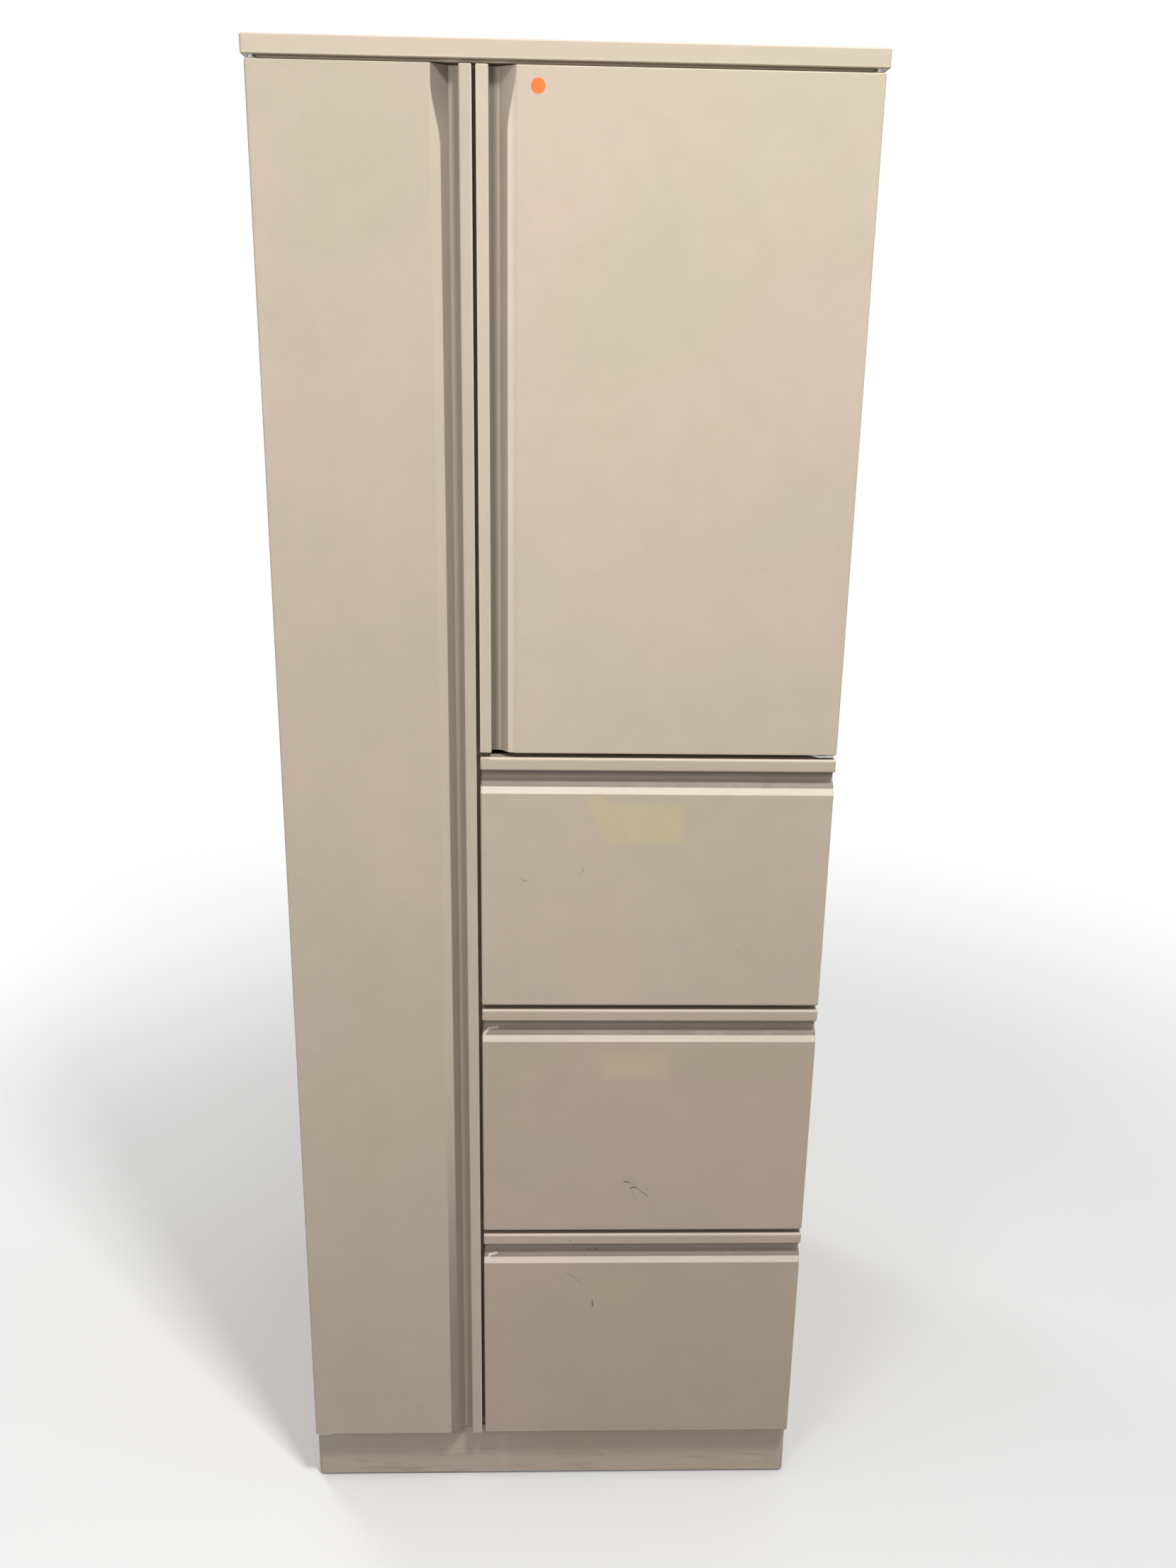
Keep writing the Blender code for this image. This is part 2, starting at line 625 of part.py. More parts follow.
def make_drawer(number):
    """A file drawer: its front with the pull along the top, its tub and its two slides."""
    low = DRAWERS_TOP - number * DRAWER_PITCH
    top = low + DRAWER_PITCH - DRAWER_GAP
    left = SPLIT_X + DOOR_GAP / 2
    label = "drawer_" + str(number)
    centre = Vector(((left + FRONT_RIGHT) / 2, FACE_Y, (low + top) / 2))
    body = make_empty(label + "_slide_axis", centre)
    middle_body = make_empty(label + "_middle_axis", centre)

    def place(u, v, w):
        return Vector((left + w, FACE_Y + v, top - u))

    front_skin(label + "_front", top - low, FRONT_RIGHT - left, place, body, FRONT_BACK_LIP)

    left_wall, right_wall = DIVIDER_RIGHT + FIT, INNER_X - FIT
    tub_left = left_wall + SLIDE_THICKNESS + FIT
    tub_right = right_wall - SLIDE_THICKNESS - FIT
    tub_low = low + TUB_RISE
    wall_top = tub_low + TUB_WALL
    shape = box_shape((tub_left, FRONT_BACK_Y + FIT, tub_low),
                      (tub_right, FRONT_BACK_Y + FIT + TUB_LENGTH, wall_top))
    open_sides(shape, ("+z",))
    for side, inward in ((tub_left, 1), (tub_right, -1)):
        rail = side + inward * FILE_RAIL_SHELF
        step = wall_top + TUB_SIDE_RISE
        extend_rim(shape, lambda p: near(p.x, side) and near(p.z, wall_top), (0, 0, TUB_SIDE_RISE))
        extend_rim(shape, lambda p: near(p.x, side) and near(p.z, step),
                   (inward * FILE_RAIL_SHELF, 0, 0))
        extend_rim(shape, lambda p: near(p.x, rail) and near(p.z, step), (0, 0, FILE_RAIL_LIP))
    tub = add_object(label + "_tub", shape, PAINTED_INSIDE, body)
    thicken(tub, SHEET)

    slide_level = low + SLIDE_RISE
    make_slide(label + "_slide_left", left_wall, 1, slide_level, body, middle_body)
    make_slide(label + "_slide_right", right_wall, -1, slide_level, body, middle_body)


clear_scene()
PARTS = make_collection("storage_cabinet")
CUTTERS = make_collection("cutters")

CABINET = make_empty("cabinet_origin", Vector())
LEFT_DOOR = make_empty("left_door_axis", LEFT_AXIS)
RIGHT_DOOR = make_empty("right_door_axis", RIGHT_AXIS)
bpy.context.view_layer.update()

make_cap()
make_carcass()
make_wardrobe_fittings()
make_adjustable_shelf()
make_door("left", SPLIT_X - DOOR_GAP / 2, FRONT_LEFT, LEFT_AXIS, BASE_HEIGHT, LEFT_DOOR)
make_door("right", SPLIT_X + DOOR_GAP / 2, FRONT_RIGHT, RIGHT_AXIS, DRAWERS_TOP, RIGHT_DOOR)
make_catch("left", DIVIDER_LEFT - FIT, -1)
make_catch("right", DIVIDER_RIGHT + FIT, 1)
for drawer_number in range(1, DRAWER_COUNT + 1):
    make_drawer(drawer_number)
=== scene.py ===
import math

import bmesh
import bpy
from mathutils import Matrix, Vector, noise


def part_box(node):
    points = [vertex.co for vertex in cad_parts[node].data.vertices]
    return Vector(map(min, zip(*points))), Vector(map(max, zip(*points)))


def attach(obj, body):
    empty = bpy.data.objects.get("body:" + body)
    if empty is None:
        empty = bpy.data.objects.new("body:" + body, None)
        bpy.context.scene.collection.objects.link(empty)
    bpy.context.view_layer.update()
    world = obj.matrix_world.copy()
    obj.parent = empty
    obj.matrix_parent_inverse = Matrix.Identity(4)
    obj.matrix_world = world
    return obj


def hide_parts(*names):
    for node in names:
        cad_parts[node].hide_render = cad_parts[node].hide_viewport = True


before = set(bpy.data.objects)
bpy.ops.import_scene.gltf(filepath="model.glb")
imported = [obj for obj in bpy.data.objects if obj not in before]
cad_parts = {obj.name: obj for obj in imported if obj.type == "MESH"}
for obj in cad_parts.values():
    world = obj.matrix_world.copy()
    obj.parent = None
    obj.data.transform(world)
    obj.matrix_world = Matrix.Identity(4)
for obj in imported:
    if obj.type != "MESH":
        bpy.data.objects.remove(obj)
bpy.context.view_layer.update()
scene = bpy.context.scene

# The viewpoint of the photograph: a camera held by hand at head height, close in front of the
# cabinet and tipped down at it.
PHOTO_WIDTH, PHOTO_HEIGHT = 1659, 2212
FOCAL_PIXELS = 1975
SENSOR_MM = 36
EYE = (-0.0188, -1.767, 1.4336)
TURN_RIGHT, TIP_DOWN, LEAN = math.radians(1.949), math.radians(17.823), math.radians(0.994)

camera_data = bpy.data.cameras.new("camera")
camera_data.sensor_width = SENSOR_MM
camera_data.lens = SENSOR_MM * FOCAL_PIXELS / max(PHOTO_WIDTH, PHOTO_HEIGHT)
camera = bpy.data.objects.new("camera", camera_data)
scene.collection.objects.link(camera)
aim = (Matrix.Rotation(-TURN_RIGHT, 4, "Z") @ Matrix.Rotation(math.pi / 2 - TIP_DOWN, 4, "X")
       @ Matrix.Rotation(LEAN, 4, "Z"))
camera.matrix_world = Matrix.Translation(EYE) @ aim
scene.camera = camera
scene.view_settings.view_transform = "Standard"


# The studio round it: a pale floor that runs out to white, an even white surround, a strip of
# lamps high overhead, two small soft lamps in front, the stronger one to the right, and a low
# one behind.
PURE_WHITE = (1, 1, 1, 1)
FLOOR_SIZE, FLOOR_GREY, FLOOR_BOUNCE = 5, 0.8, 0.1
FLOOR_ROUGHNESS, FLOOR_SHINE = 0.9, 0.1
WHITE_FROM, WHITE_BEYOND = 0.9, 2.4
SURROUND_LIGHT = 0.53
LAMPS = (
    ("overhead_strip", (-0.2, -1.205, 8.0), (0, -0.3, 1.0), (2.6, 0.27), 45),
    ("right_lamp", (0.7, -1.6, 3.65), (0.1, -0.3, 1.2), (0.4, 0.4), 65),
    ("left_lamp", (-0.9, -1.9, 1.5), (0, -0.3, 0.9), (0.5, 0.5), 7),
    ("rear_lamp", (-1.8, 1.9, 1.25), (0, 0.1, 0.9), (0.8, 0.8), 20),
)


def add_node(tree, kind, inputs=None, **settings):
    """Add a node; each input is a fixed value or another node's output."""
    made = tree.nodes.new("ShaderNode" + kind)
    for name, value in settings.items():
        setattr(made, name, value)
    for socket, value in (inputs or {}).items():
        if isinstance(value, bpy.types.NodeSocket):
            tree.links.new(value, made.inputs[socket])
        else:
            made.inputs[socket].default_value = value
    return made


def reckon(tree, operation, *values):
    """A sum on numbers, each fixed or another node's output."""
    return add_node(tree, "Math", dict(enumerate(values)), operation=operation).outputs[0]


def reckon_place(tree, operation, *values, result="Vector"):
    """A sum on places, (x, y, z), each fixed or another node's output."""
    made = add_node(tree, "VectorMath", dict(enumerate(values)), operation=operation)
    return made.outputs[result]


def ramp_up(tree, value, start, end, low=0.0, high=1.0):
    """Turn a value into a smooth climb from low at start to high at end."""
    inputs = {"Value": value, "From Min": start, "From Max": end, "To Min": low, "To Max": high}
    return add_node(tree, "MapRange", inputs, interpolation_type="SMOOTHSTEP").outputs["Result"]


def new_finish(name):
    """A material with its node tree, its shader and the real place of each point."""
    finish = bpy.data.materials.new(name)
    finish.use_nodes = True
    tree = finish.node_tree
    place = add_node(tree, "TexCoord").outputs["Object"]
    return finish, tree, tree.nodes["Principled BSDF"], place


def seen_directly(tree):
    """One for rays from the camera, and for those that metal mirrors or glass lets through."""
    rays = add_node(tree, "LightPath").outputs
    mirrored = reckon(tree, "MAXIMUM", rays["Is Camera Ray"], rays["Is Glossy Ray"])
    return reckon(tree, "MAXIMUM", mirrored, rays["Is Transmission Ray"])


surround = bpy.data.worlds.new("surround")
scene.world = surround
surround.use_nodes = True
tree = surround.node_tree
lighting = tree.nodes["Background"]
lighting.inputs["Color"].default_value = PURE_WHITE
lighting.inputs["Strength"].default_value = SURROUND_LIGHT
backdrop = add_node(tree, "Background", {"Color": PURE_WHITE, "Strength": 1})
direct = seen_directly(tree)
choice = add_node(tree, "MixShader", {0: direct, 1: lighting.outputs[0], 2: backdrop.outputs[0]})
tree.links.new(choice.outputs[0], tree.nodes["World Output"].inputs["Surface"])

floor_finish, tree, floor_shader, place = new_finish("studio_floor")
floor_shader.inputs["Roughness"].default_value = FLOOR_ROUGHNESS
floor_shader.inputs["Specular IOR Level"].default_value = FLOOR_SHINE
direct = seen_directly(tree)
grey = add_node(tree, "MapRange", {"Value": direct, "To Min": FLOOR_BOUNCE,
                                   "To Max": FLOOR_GREY}).outputs["Result"]
tree.links.new(grey, floor_shader.inputs["Base Color"])
distance = reckon_place(tree, "LENGTH", place, result="Value")
fade = reckon(tree, "MULTIPLY", ramp_up(tree, distance, WHITE_FROM, WHITE_BEYOND), direct)
white = add_node(tree, "Emission", {"Color": PURE_WHITE, "Strength": 1})
mix = add_node(tree, "MixShader", {0: fade, 1: floor_shader.outputs[0], 2: white.outputs[0]})
tree.links.new(mix.outputs[0], tree.nodes["Material Output"].inputs["Surface"])
bpy.ops.mesh.primitive_plane_add(size=FLOOR_SIZE)
floor = bpy.context.object
floor.name = "studio_floor"
floor.data.materials.append(floor_finish)

for name, position, target, (width, depth), watts in LAMPS:
    lamp_data = bpy.data.lights.new(name, "AREA")
    lamp_data.shape = "RECTANGLE"
    lamp_data.size, lamp_data.size_y = width, depth
    lamp_data.energy = watts
    lamp = bpy.data.objects.new(name, lamp_data)
    lamp.location = position
    lamp.rotation_euler = (Vector(target) - lamp.location).to_track_quat("-Z", "Y").to_euler()
    lamp.visible_camera = False
    scene.collection.objects.link(lamp)


# The side panels and the centre divider: box-folded sheet steel, sprayed and baked in one
# putty-coloured enamel. The walls of the upper compartment are punched with rows of slots that
# the shelf clips hook into.
SHEET = 0.001
FOLD = 0.002
PUTTY = ((204, 186, 168), (200, 184, 165), (196, 184, 162))
INSIDE_PUTTY = ((190, 176, 157), (186, 172, 153), (182, 172, 150))
PAINT_DULLNESS, PAINT_SHINE = (0.44, 0.56), 0.35
TONE_PATCH, SHADE_PATCH, DULL_PATCH = 0.3, 0.035, 0.02
GRAIN, SHADE_DRIFT, GRAIN_DRIFT = 0.0011, (0.985, 1.015), (0.97, 1.03)
ORANGE_PEEL, PEEL_STRENGTH, PEEL_DEPTH = 0.0014, 0.25, 0.0002
CLOUD_LOW, CLOUD_HIGH = 0.3, 0.7
SLOT_WIDTH, SLOT_HEIGHT, SLOT_PITCH = 0.0032, 0.012, 0.0254
SLOTS_FROM, SLOTS_TO = 1.05, 1.61
SLOT_ROWS = (-0.2143, 0.222)


def from_screen(colour):
    """A colour as a screen shows it, 0 to 255, turned to the values that light works with."""
    parts = [c / 255 for c in colour]
    return (*[c / 12.92 if c <= 0.04045 else ((c + 0.055) / 1.055) ** 2.4 for c in parts], 1)


def clouds(tree, place, size, detail=3):
    """Soft random patches, about size metres across."""
    inputs = {"Vector": place, "Scale": 1 / size, "Detail": detail, "Roughness": 0.5}
    return add_node(tree, "TexNoise", inputs).outputs["Fac"]


def graded(tree, share, stops):
    """Run through colours as share climbs; each stop is (share, colour)."""
    made = add_node(tree, "ValToRGB", {"Fac": share})
    elements = made.color_ramp.elements
    while len(elements) < len(stops):
        elements.new(0.5)
    for element, (position, colour) in zip(elements, stops):
        element.position, element.color = position, colour
    return made.outputs["Color"]


def tones(tree, share, colours, start=0.36, end=0.64):
    """Run through evenly spaced colours as share climbs from start to end."""
    return graded(tree, share, [(start + (end - start) * index / (len(colours) - 1),
                                 from_screen(colour)) for index, colour in enumerate(colours)])


def dimmed(tree, colour, value, strength=1.0):
    """A colour made darker or paler, and its hue stronger or weaker."""
    inputs = {"Color": colour, "Value": value, "Saturation": strength}
    return add_node(tree, "HueSaturation", inputs).outputs["Color"]


def drifting(tree, place, patch, low, high, detail=3):
    """A value that drifts between two limits in soft random patches."""
    return ramp_up(tree, clouds(tree, place, patch, detail), CLOUD_LOW, CLOUD_HIGH, low, high)


def roughen(tree, shader, height, strength, depth):
    """Raise the surface a little where height is more."""
    bump = add_node(tree, "Bump", {"Height": height, "Strength": strength, "Distance": depth})
    tree.links.new(bump.outputs["Normal"], shader.inputs["Normal"])


def putty_paint(name, colours=PUTTY, mark=None):
    """Baked enamel on sheet steel: close tones, a fine grain and a slight orange peel."""
    paint, tree, shader, place = new_finish(name)
    colour = tones(tree, clouds(tree, place, TONE_PATCH), colours)
    colour = dimmed(tree, colour, drifting(tree, place, SHADE_PATCH, *SHADE_DRIFT))
    colour = dimmed(tree, colour, drifting(tree, place, GRAIN, *GRAIN_DRIFT, 1))
    if mark:
        colour = mark(tree, place, colour)
    tree.links.new(colour, shader.inputs["Base Color"])
    rough = drifting(tree, place, DULL_PATCH, *PAINT_DULLNESS)
    tree.links.new(rough, shader.inputs["Roughness"])
    shader.inputs["Specular IOR Level"].default_value = PAINT_SHINE
    roughen(tree, shader, clouds(tree, place, ORANGE_PEEL, 1), PEEL_STRENGTH, PEEL_DEPTH)
    return paint


def coat(finish, *nodes):
    """Give solids of the frame a finish."""
    for node in nodes:
        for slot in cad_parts[node].material_slots:
            slot.material = finish


def rounded(corners, steps=6):
    """Points of a line or outline whose corners, (u, v, radius), are turned to arcs."""
    points = []
    for index, (u, v, radius) in enumerate(corners):
        corner = Vector((u, v))
        if not radius:
            points.append(corner)
            continue
        before = (Vector(corners[index - 1][:2]) - corner).normalized()
        after = (Vector(corners[(index + 1) % len(corners)][:2]) - corner).normalized()
        half = before.angle(after) / 2
        centre = corner + (before + after).normalized() * radius / math.sin(half)
        start = corner + before * radius / math.tan(half) - centre
        turn = start.angle_signed(corner + after * radius / math.tan(half) - centre)
        points += [centre + Matrix.Rotation(-turn * step / steps, 2) @ start
                   for step in range(steps + 1)]
    return points


def join_rings(shape, rings, closed=True, punched=None):
    """Lay faces between rings of points, but none where a hole is punched."""
    for low, high in zip(rings, rings[1:]):
        for index in range(len(low) if closed else len(low) - 1):
            after = (index + 1) % len(low)
            corners = (low[index], low[after], high[after], high[index])
            middle = sum((corner.co for corner in corners), Vector()) / 4
            if not (punched and punched(middle)):
                shape.faces.new(corners)


def face_outward(shape):
    """Turn all faces the same way, away from the middle of the shape."""
    bmesh.ops.recalc_face_normals(shape, faces=shape.faces)
    middle = sum((v.co for v in shape.verts), Vector()) / len(shape.verts)
    vote = sum((f.calc_center_median() - middle).dot(f.normal) * f.calc_area()
               for f in shape.faces)
    if vote < 0:
        bmesh.ops.reverse_faces(shape, faces=shape.faces)


def lying(u, v, w):
    """The real place of a point of something drawn from above, at the level w."""
    return Vector((u, v, w))


def drawn_out(section, stations, place, closed=False, punched=None, capped=False):
    """A section drawn out along a length; place(u, v, w) gives a point's real place."""
    shape = bmesh.new()
    rings = [[shape.verts.new(place(p.x, p.y, w)) for p in section] for w in stations]
    join_rings(shape, rings, closed, punched)
    if capped:
        shape.faces.new(rings[0])
        shape.faces.new(rings[-1])
    face_outward(shape)
    return shape


def add_piece(name, shape, finish, stands_for=(), sheet=0, sharp=35, body="cabinet"):
    """Make a piece of a shape in its real place, and let it ride on a body of the frame."""
    mesh = bpy.data.meshes.new(name)
    shape.to_mesh(mesh)
    shape.free()
    mesh.shade_smooth()
    mesh.set_sharp_from_angle(angle=math.radians(sharp))
    mesh.materials.append(finish)
    piece = bpy.data.objects.new(name, mesh)
    scene.collection.objects.link(piece)
    if sheet:
        thickness = piece.modifiers.new("Sheet", "SOLIDIFY")
        thickness.thickness = sheet
        thickness.offset = -1
        thickness.use_even_offset = True
    even = piece.modifiers.new("Even shading", "WEIGHTED_NORMAL")
    even.keep_sharp = True
    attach(piece, body)
    if stands_for:
        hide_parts(*stands_for)
    return piece


def boxed_panel(low, high, slotted=None):
    """An upright tube of sheet; slotted is the x of a wall that gets rows of slots."""
    corners = [(low.x, high.y, FOLD), (low.x, low.y, FOLD),
               (high.x, low.y, FOLD), (high.x, high.y, FOLD)]
    stations = [low.z, high.z]
    if slotted is not None:
        wall = [(slotted, y + edge * SLOT_WIDTH / 2, 0) for y in SLOT_ROWS for edge in (-1, 1)]
        if slotted == high.x:
            corners[3:3] = wall
        else:
            corners[1:1] = reversed(wall)
        steps = round((SLOTS_TO - SLOTS_FROM) / SLOT_PITCH)
        levels = [SLOTS_FROM + SLOT_PITCH * step for step in range(steps + 1)]
        stations[1:1] = [z + end for z in levels for end in (0, SLOT_HEIGHT)]

    def punched(p):
        in_row = any(abs(p.y - y) < SLOT_WIDTH / 2 for y in SLOT_ROWS)
        on_wall = slotted is not None and abs(p.x - slotted) < SHEET
        step = (p.z - SLOTS_FROM) % SLOT_PITCH
        return on_wall and in_row and step < SLOT_HEIGHT and SLOTS_FROM < p.z < SLOTS_TO + SLOT_PITCH

    return drawn_out(rounded(corners), stations, lying, True, punched)


case_paint = putty_paint("case_paint")
inside_paint = putty_paint("inside_paint", INSIDE_PUTTY)
for node, name in (("side_panel_left", "left_side"), ("side_panel_right", "right_side"),
                   ("centre_divider", "divider")):
    low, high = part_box(node)
    wall = {"left_side": None, "right_side": low.x, "divider": high.x}[name]
    add_piece(name, boxed_panel(low, high, wall), case_paint, [node], SHEET)


# The top, the two floors and the two rails between drawers: shallow folded channels of the same
# sheet, spot-welded between the walls. The floors turn in again under their front edge.
FLOOR_LIP = 0.015


def folded_channel(name, node, turns, finish, bend=FOLD, lip=0):
    """A channel that runs from left to right. Its section goes by its turns, each (behind, above)
    as 0 or 1, of which the first and the last are cut edges; a lip moves the first one back."""
    low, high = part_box(node)
    section = [((low.y, high.y)[behind], (low.z, high.z)[above], bend) for behind, above in turns]
    section[0] = (section[0][0] + lip, section[0][1], 0)
    section[-1] = (*section[-1][:2], 0)
    shape = drawn_out(rounded(section), (low.x, high.x), lambda u, v, w: Vector((w, u, v)))
    add_piece(name, shape, finish, [node], SHEET)


folded_channel("top_channel", "top_panel", ((0, 0), (0, 1), (1, 1), (1, 0)), case_paint)
for name, node in (("case_floor", "bottom_panel"), ("upper_floor", "compartment_floor")):
    folded_channel(name, node, ((0, 0), (0, 0), (0, 1), (1, 1), (1, 0)), inside_paint,
                   FOLD / 2, FLOOR_LIP)
for number in ("1", "2"):
    folded_channel("front_rail_" + number, "rail_under_drawer_" + number,
                   ((1, 0), (0, 0), (0, 1), (1, 1)), case_paint)


# The back: one pan of heavier sheet that closes the carcass behind, with a shallow pressed field,
# three stiffening ribs up it, and a row of low domed rivets round its edge.
HEAVY_SHEET = 0.0012
CORNER_STEPS = 6
BACK_FLANGE, BACK_MARGIN, PRESS_SLOPE, PRESS_DEPTH = 0.0135, 0.045, 0.006, 0.0025
RIBS_AT = (-0.15, 0, 0.15)
RIB_HALF_WIDTH, RIB_END_MARGIN, RIB_CORNER = 0.022, 0.11, 0.012
RIB_SUNK, RIB_SHOULDER, RIB_CROWN, CROWN_INSET = 0.0003, 0.0006, 0.0004, 0.001
RIVET_RADIUS, RIVET_HEIGHT = 0.004, 0.0013
RIVET_INSET, RIVET_PITCH, RIVETS_FROM = 0.02, 0.13, 0.05


def quarter_bend(radius, steps=6):
    """How far a rounded edge stands in, and how far along it that is, from its start."""
    angles = [math.pi / 2 * step / steps for step in range(steps + 1)]
    return [(radius * (1 - math.sin(a)), radius * (1 - math.cos(a))) for a in angles]


def fold_rims(bend, corner, face, back=-1, steps=6):
    """Rims over a rounded fold that ends flush with a face; back is the way its flange runs."""
    return [(inset, face + back * along, corner)
            for inset, along in reversed(quarter_bend(bend, steps))]


def standing(u, v, w):
    """The real place of a point of something drawn from the front, at the depth w."""
    return Vector((u, w, v))


def spread(start, end, spacing):
    """Evenly spaced places from start to end, both counted."""
    count = max(1, round((end - start) / spacing))
    return [start + (end - start) * step / count for step in range(count + 1)]


def pressed_sheet(low, high, rims, place, both_ends=False):
    """A sheet folded or pressed in steps; each rim is (inset, level, corner radius)."""
    shape = bmesh.new()
    rings = []
    for inset, level, radius in rims:
        ring = []
        for quarter, (across, up) in enumerate(((1, 1), (-1, 1), (-1, -1), (1, -1))):
            u = (high[0] - inset - radius) if across > 0 else (low[0] + inset + radius)
            v = (high[1] - inset - radius) if up > 0 else (low[1] + inset + radius)
            for step in range(CORNER_STEPS + 1):
                angle = (quarter + step / CORNER_STEPS) * math.pi / 2
                point = place(u + radius * math.cos(angle), v + radius * math.sin(angle), level)
                ring.append(shape.verts.new(point))
        rings.append(ring)
    join_rings(shape, rings)
    shape.faces.new(rings[-1])
    if both_ends:
        shape.faces.new(rings[0])
    face_outward(shape)
    return shape


def turn_round(shape, profile, base, axis, segments=24):
    """Turn a profile, (radius, height), about an axis, and add it to a shape."""
    spin = Vector((0, 0, 1)).rotation_difference(Vector(axis)).to_matrix()
    rings = []
    for radius, height in profile:
        around = range(segments if radius else 1)
        angles = [2 * math.pi * step / segments for step in around]
        rings.append([shape.verts.new(Vector(base) + spin @ Vector(
            (radius * math.cos(a), radius * math.sin(a), height))) for a in angles])
    for first, second in zip(rings, rings[1:]):
        for index in range(segments):
            after = (index + 1) % segments
            corners = [first[index % len(first)], first[after % len(first)],
                       second[after % len(second)], second[index % len(second)]]
            shape.faces.new(list(dict.fromkeys(corners)))


def dome(radius, height, steps=5):
    """The profile of a low domed head, from its rim to its crown."""
    angles = [math.pi / 2 * step / steps for step in range(steps + 1)]
    return [(radius, 0)] + [(radius * math.cos(a) if step < steps else 0,
                             height * (0.35 + 0.65 * math.sin(a)))
                            for step, a in enumerate(angles)]


low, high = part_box("back_panel")
rims = [(0, high.y - BACK_FLANGE, FOLD), *fold_rims(FOLD, FOLD, high.y),
        (BACK_MARGIN, high.y, FOLD), (BACK_MARGIN + PRESS_SLOPE, high.y - PRESS_DEPTH, FOLD)]
back = pressed_sheet((low.x, low.z), (high.x, high.z), rims, standing)
add_piece("back_pan", back, case_paint, ["back_panel"], HEAVY_SHEET)
rims = [(0, high.y - PRESS_DEPTH - RIB_SUNK, RIB_CORNER),
        (PRESS_SLOPE, high.y - RIB_SHOULDER, RIB_CORNER),
        (PRESS_SLOPE + CROWN_INSET, high.y - RIB_CROWN, RIB_CORNER - CROWN_INSET)]
for number, x in enumerate(RIBS_AT, 1):
    rib = pressed_sheet((x - RIB_HALF_WIDTH, low.z + RIB_END_MARGIN),
                        (x + RIB_HALF_WIDTH, high.z - RIB_END_MARGIN), rims, standing)
    add_piece("back_stiffener_" + str(number), rib, case_paint)
columns = spread(low.x + RIVET_INSET, high.x - RIVET_INSET, RIVET_PITCH)
rows = spread(low.z + RIVETS_FROM, high.z - RIVET_INSET, RIVET_PITCH)
border = [(x, z) for x in (columns[0], columns[-1]) for z in rows]
border += [(x, z) for x in columns[1:-1] for z in (rows[0], rows[-1])]
rivets = bmesh.new()
for x, z in border:
    turn_round(rivets, dome(RIVET_RADIUS, RIVET_HEIGHT), (x, high.y, z), (0, 1, 0))
face_outward(rivets)
add_piece("back_rivets", rivets, case_paint)


# The base: a recessed kick plate across the front, scuffed by shoes, and four levelling glides,
# each a pressed foot on a threaded stem with a nut above the plate.
SHOE_GREY, PALE_SCUFF, SCRATCH_GREY = (120, 108, 94), (212, 200, 182), (92, 80, 66)
STREAK_STRETCH, STREAK_SIZE, STREAKS_UP_TO, STREAKS_THICK = (0.25, 1, 2.2), 0.012, 0.075, 0.01
DRAWN_STRETCH, DRAWN_LINE, DRAWN_DEPTH = (1, 0.03, 1), 0.0007, 0.00003
THREAD_PITCH, THREAD_DEPTH = 0.00125, 0.0005
STEM_RADIUS, FOOT_TOP = 0.004, 0.0029
NUT_RADIUS, NUT_HEIGHT, NUT_BEVEL, NUT_UNDERSIDE = 0.0075, 0.0055, 0.0006, 0.0046


def soft_box(tree, place, centre, size, softness=0.3):
    """One inside an upright rectangle on a front, (x, z), falling to nothing at its edge."""
    offset = reckon_place(tree, "SUBTRACT", place, (centre[0], 0, centre[1]))
    share = reckon_place(tree, "MULTIPLY", offset, (2 / size[0], 0, 2 / size[1]))
    parts = add_node(tree, "SeparateXYZ", {0: reckon_place(tree, "ABSOLUTE", share)}).outputs
    furthest = reckon(tree, "MAXIMUM", parts["X"], parts["Z"])
    return ramp_up(tree, furthest, 1, 1 - softness)


def stroke(tree, place, from_x, from_z, to_x, to_z, width):
    """One along a thin mark on a front."""
    start, end = Vector((from_x, 0, from_z)), Vector((to_x, 0, to_z))
    along = end - start
    flat = reckon_place(tree, "MULTIPLY", place, (1, 0, 1))
    offset = reckon_place(tree, "SUBTRACT", flat, start)
    share = reckon_place(tree, "DOT_PRODUCT", offset, along / along.length_squared, result="Value")
    held = add_node(tree, "Clamp", {"Value": share}).outputs[0]
    nearest = reckon_place(tree, "MULTIPLY", held, along)
    gap = reckon_place(tree, "DISTANCE", offset, nearest, result="Value")
    return ramp_up(tree, gap, width, width * 0.3)


def stained(tree, colour, mask, strength, stain):
    """A colour with a stain laid over it where the mask says."""
    amount = reckon(tree, "MULTIPLY", mask, strength)
    made = add_node(tree, "Mix", {0: amount, 6: colour, 7: from_screen(stain)}, data_type="RGBA")
    return made.outputs[2]


def scratched(strokes, stain=SCRATCH_GREY):
    """Marks for a paint: each stroke is (width, strength, then x and z of each place it joins)."""
    def mark(tree, place, colour):
        for width, strength, *ends in strokes:
            for at in range(0, len(ends) - 2, 2):
                line = stroke(tree, place, *ends[at:at + 4], width)
                colour = stained(tree, colour, line, strength, stain)
        return colour
    return mark


def scuffed(tree, place, colour):
    """Shoe scuffs: streaks drawn out sideways, thickest near the floor."""
    streaks = clouds(tree, reckon_place(tree, "MULTIPLY", place, STREAK_STRETCH), STREAK_SIZE, 4)
    height = add_node(tree, "SeparateXYZ", {0: place}).outputs["Z"]
    low_down = ramp_up(tree, height, STREAKS_UP_TO, STREAKS_THICK)
    thick = reckon(tree, "MULTIPLY", ramp_up(tree, streaks, 0.52, 0.72), low_down)
    colour = stained(tree, colour, thick, 0.3, SHOE_GREY)
    pale = soft_box(tree, place, (-0.066, 0.045), (0.016, 0.075), 0.5)
    return stained(tree, colour, pale, 0.35, PALE_SCUFF)


kick_paint = putty_paint("kick_paint", mark=scuffed)
coat(kick_paint, "kick_plate")


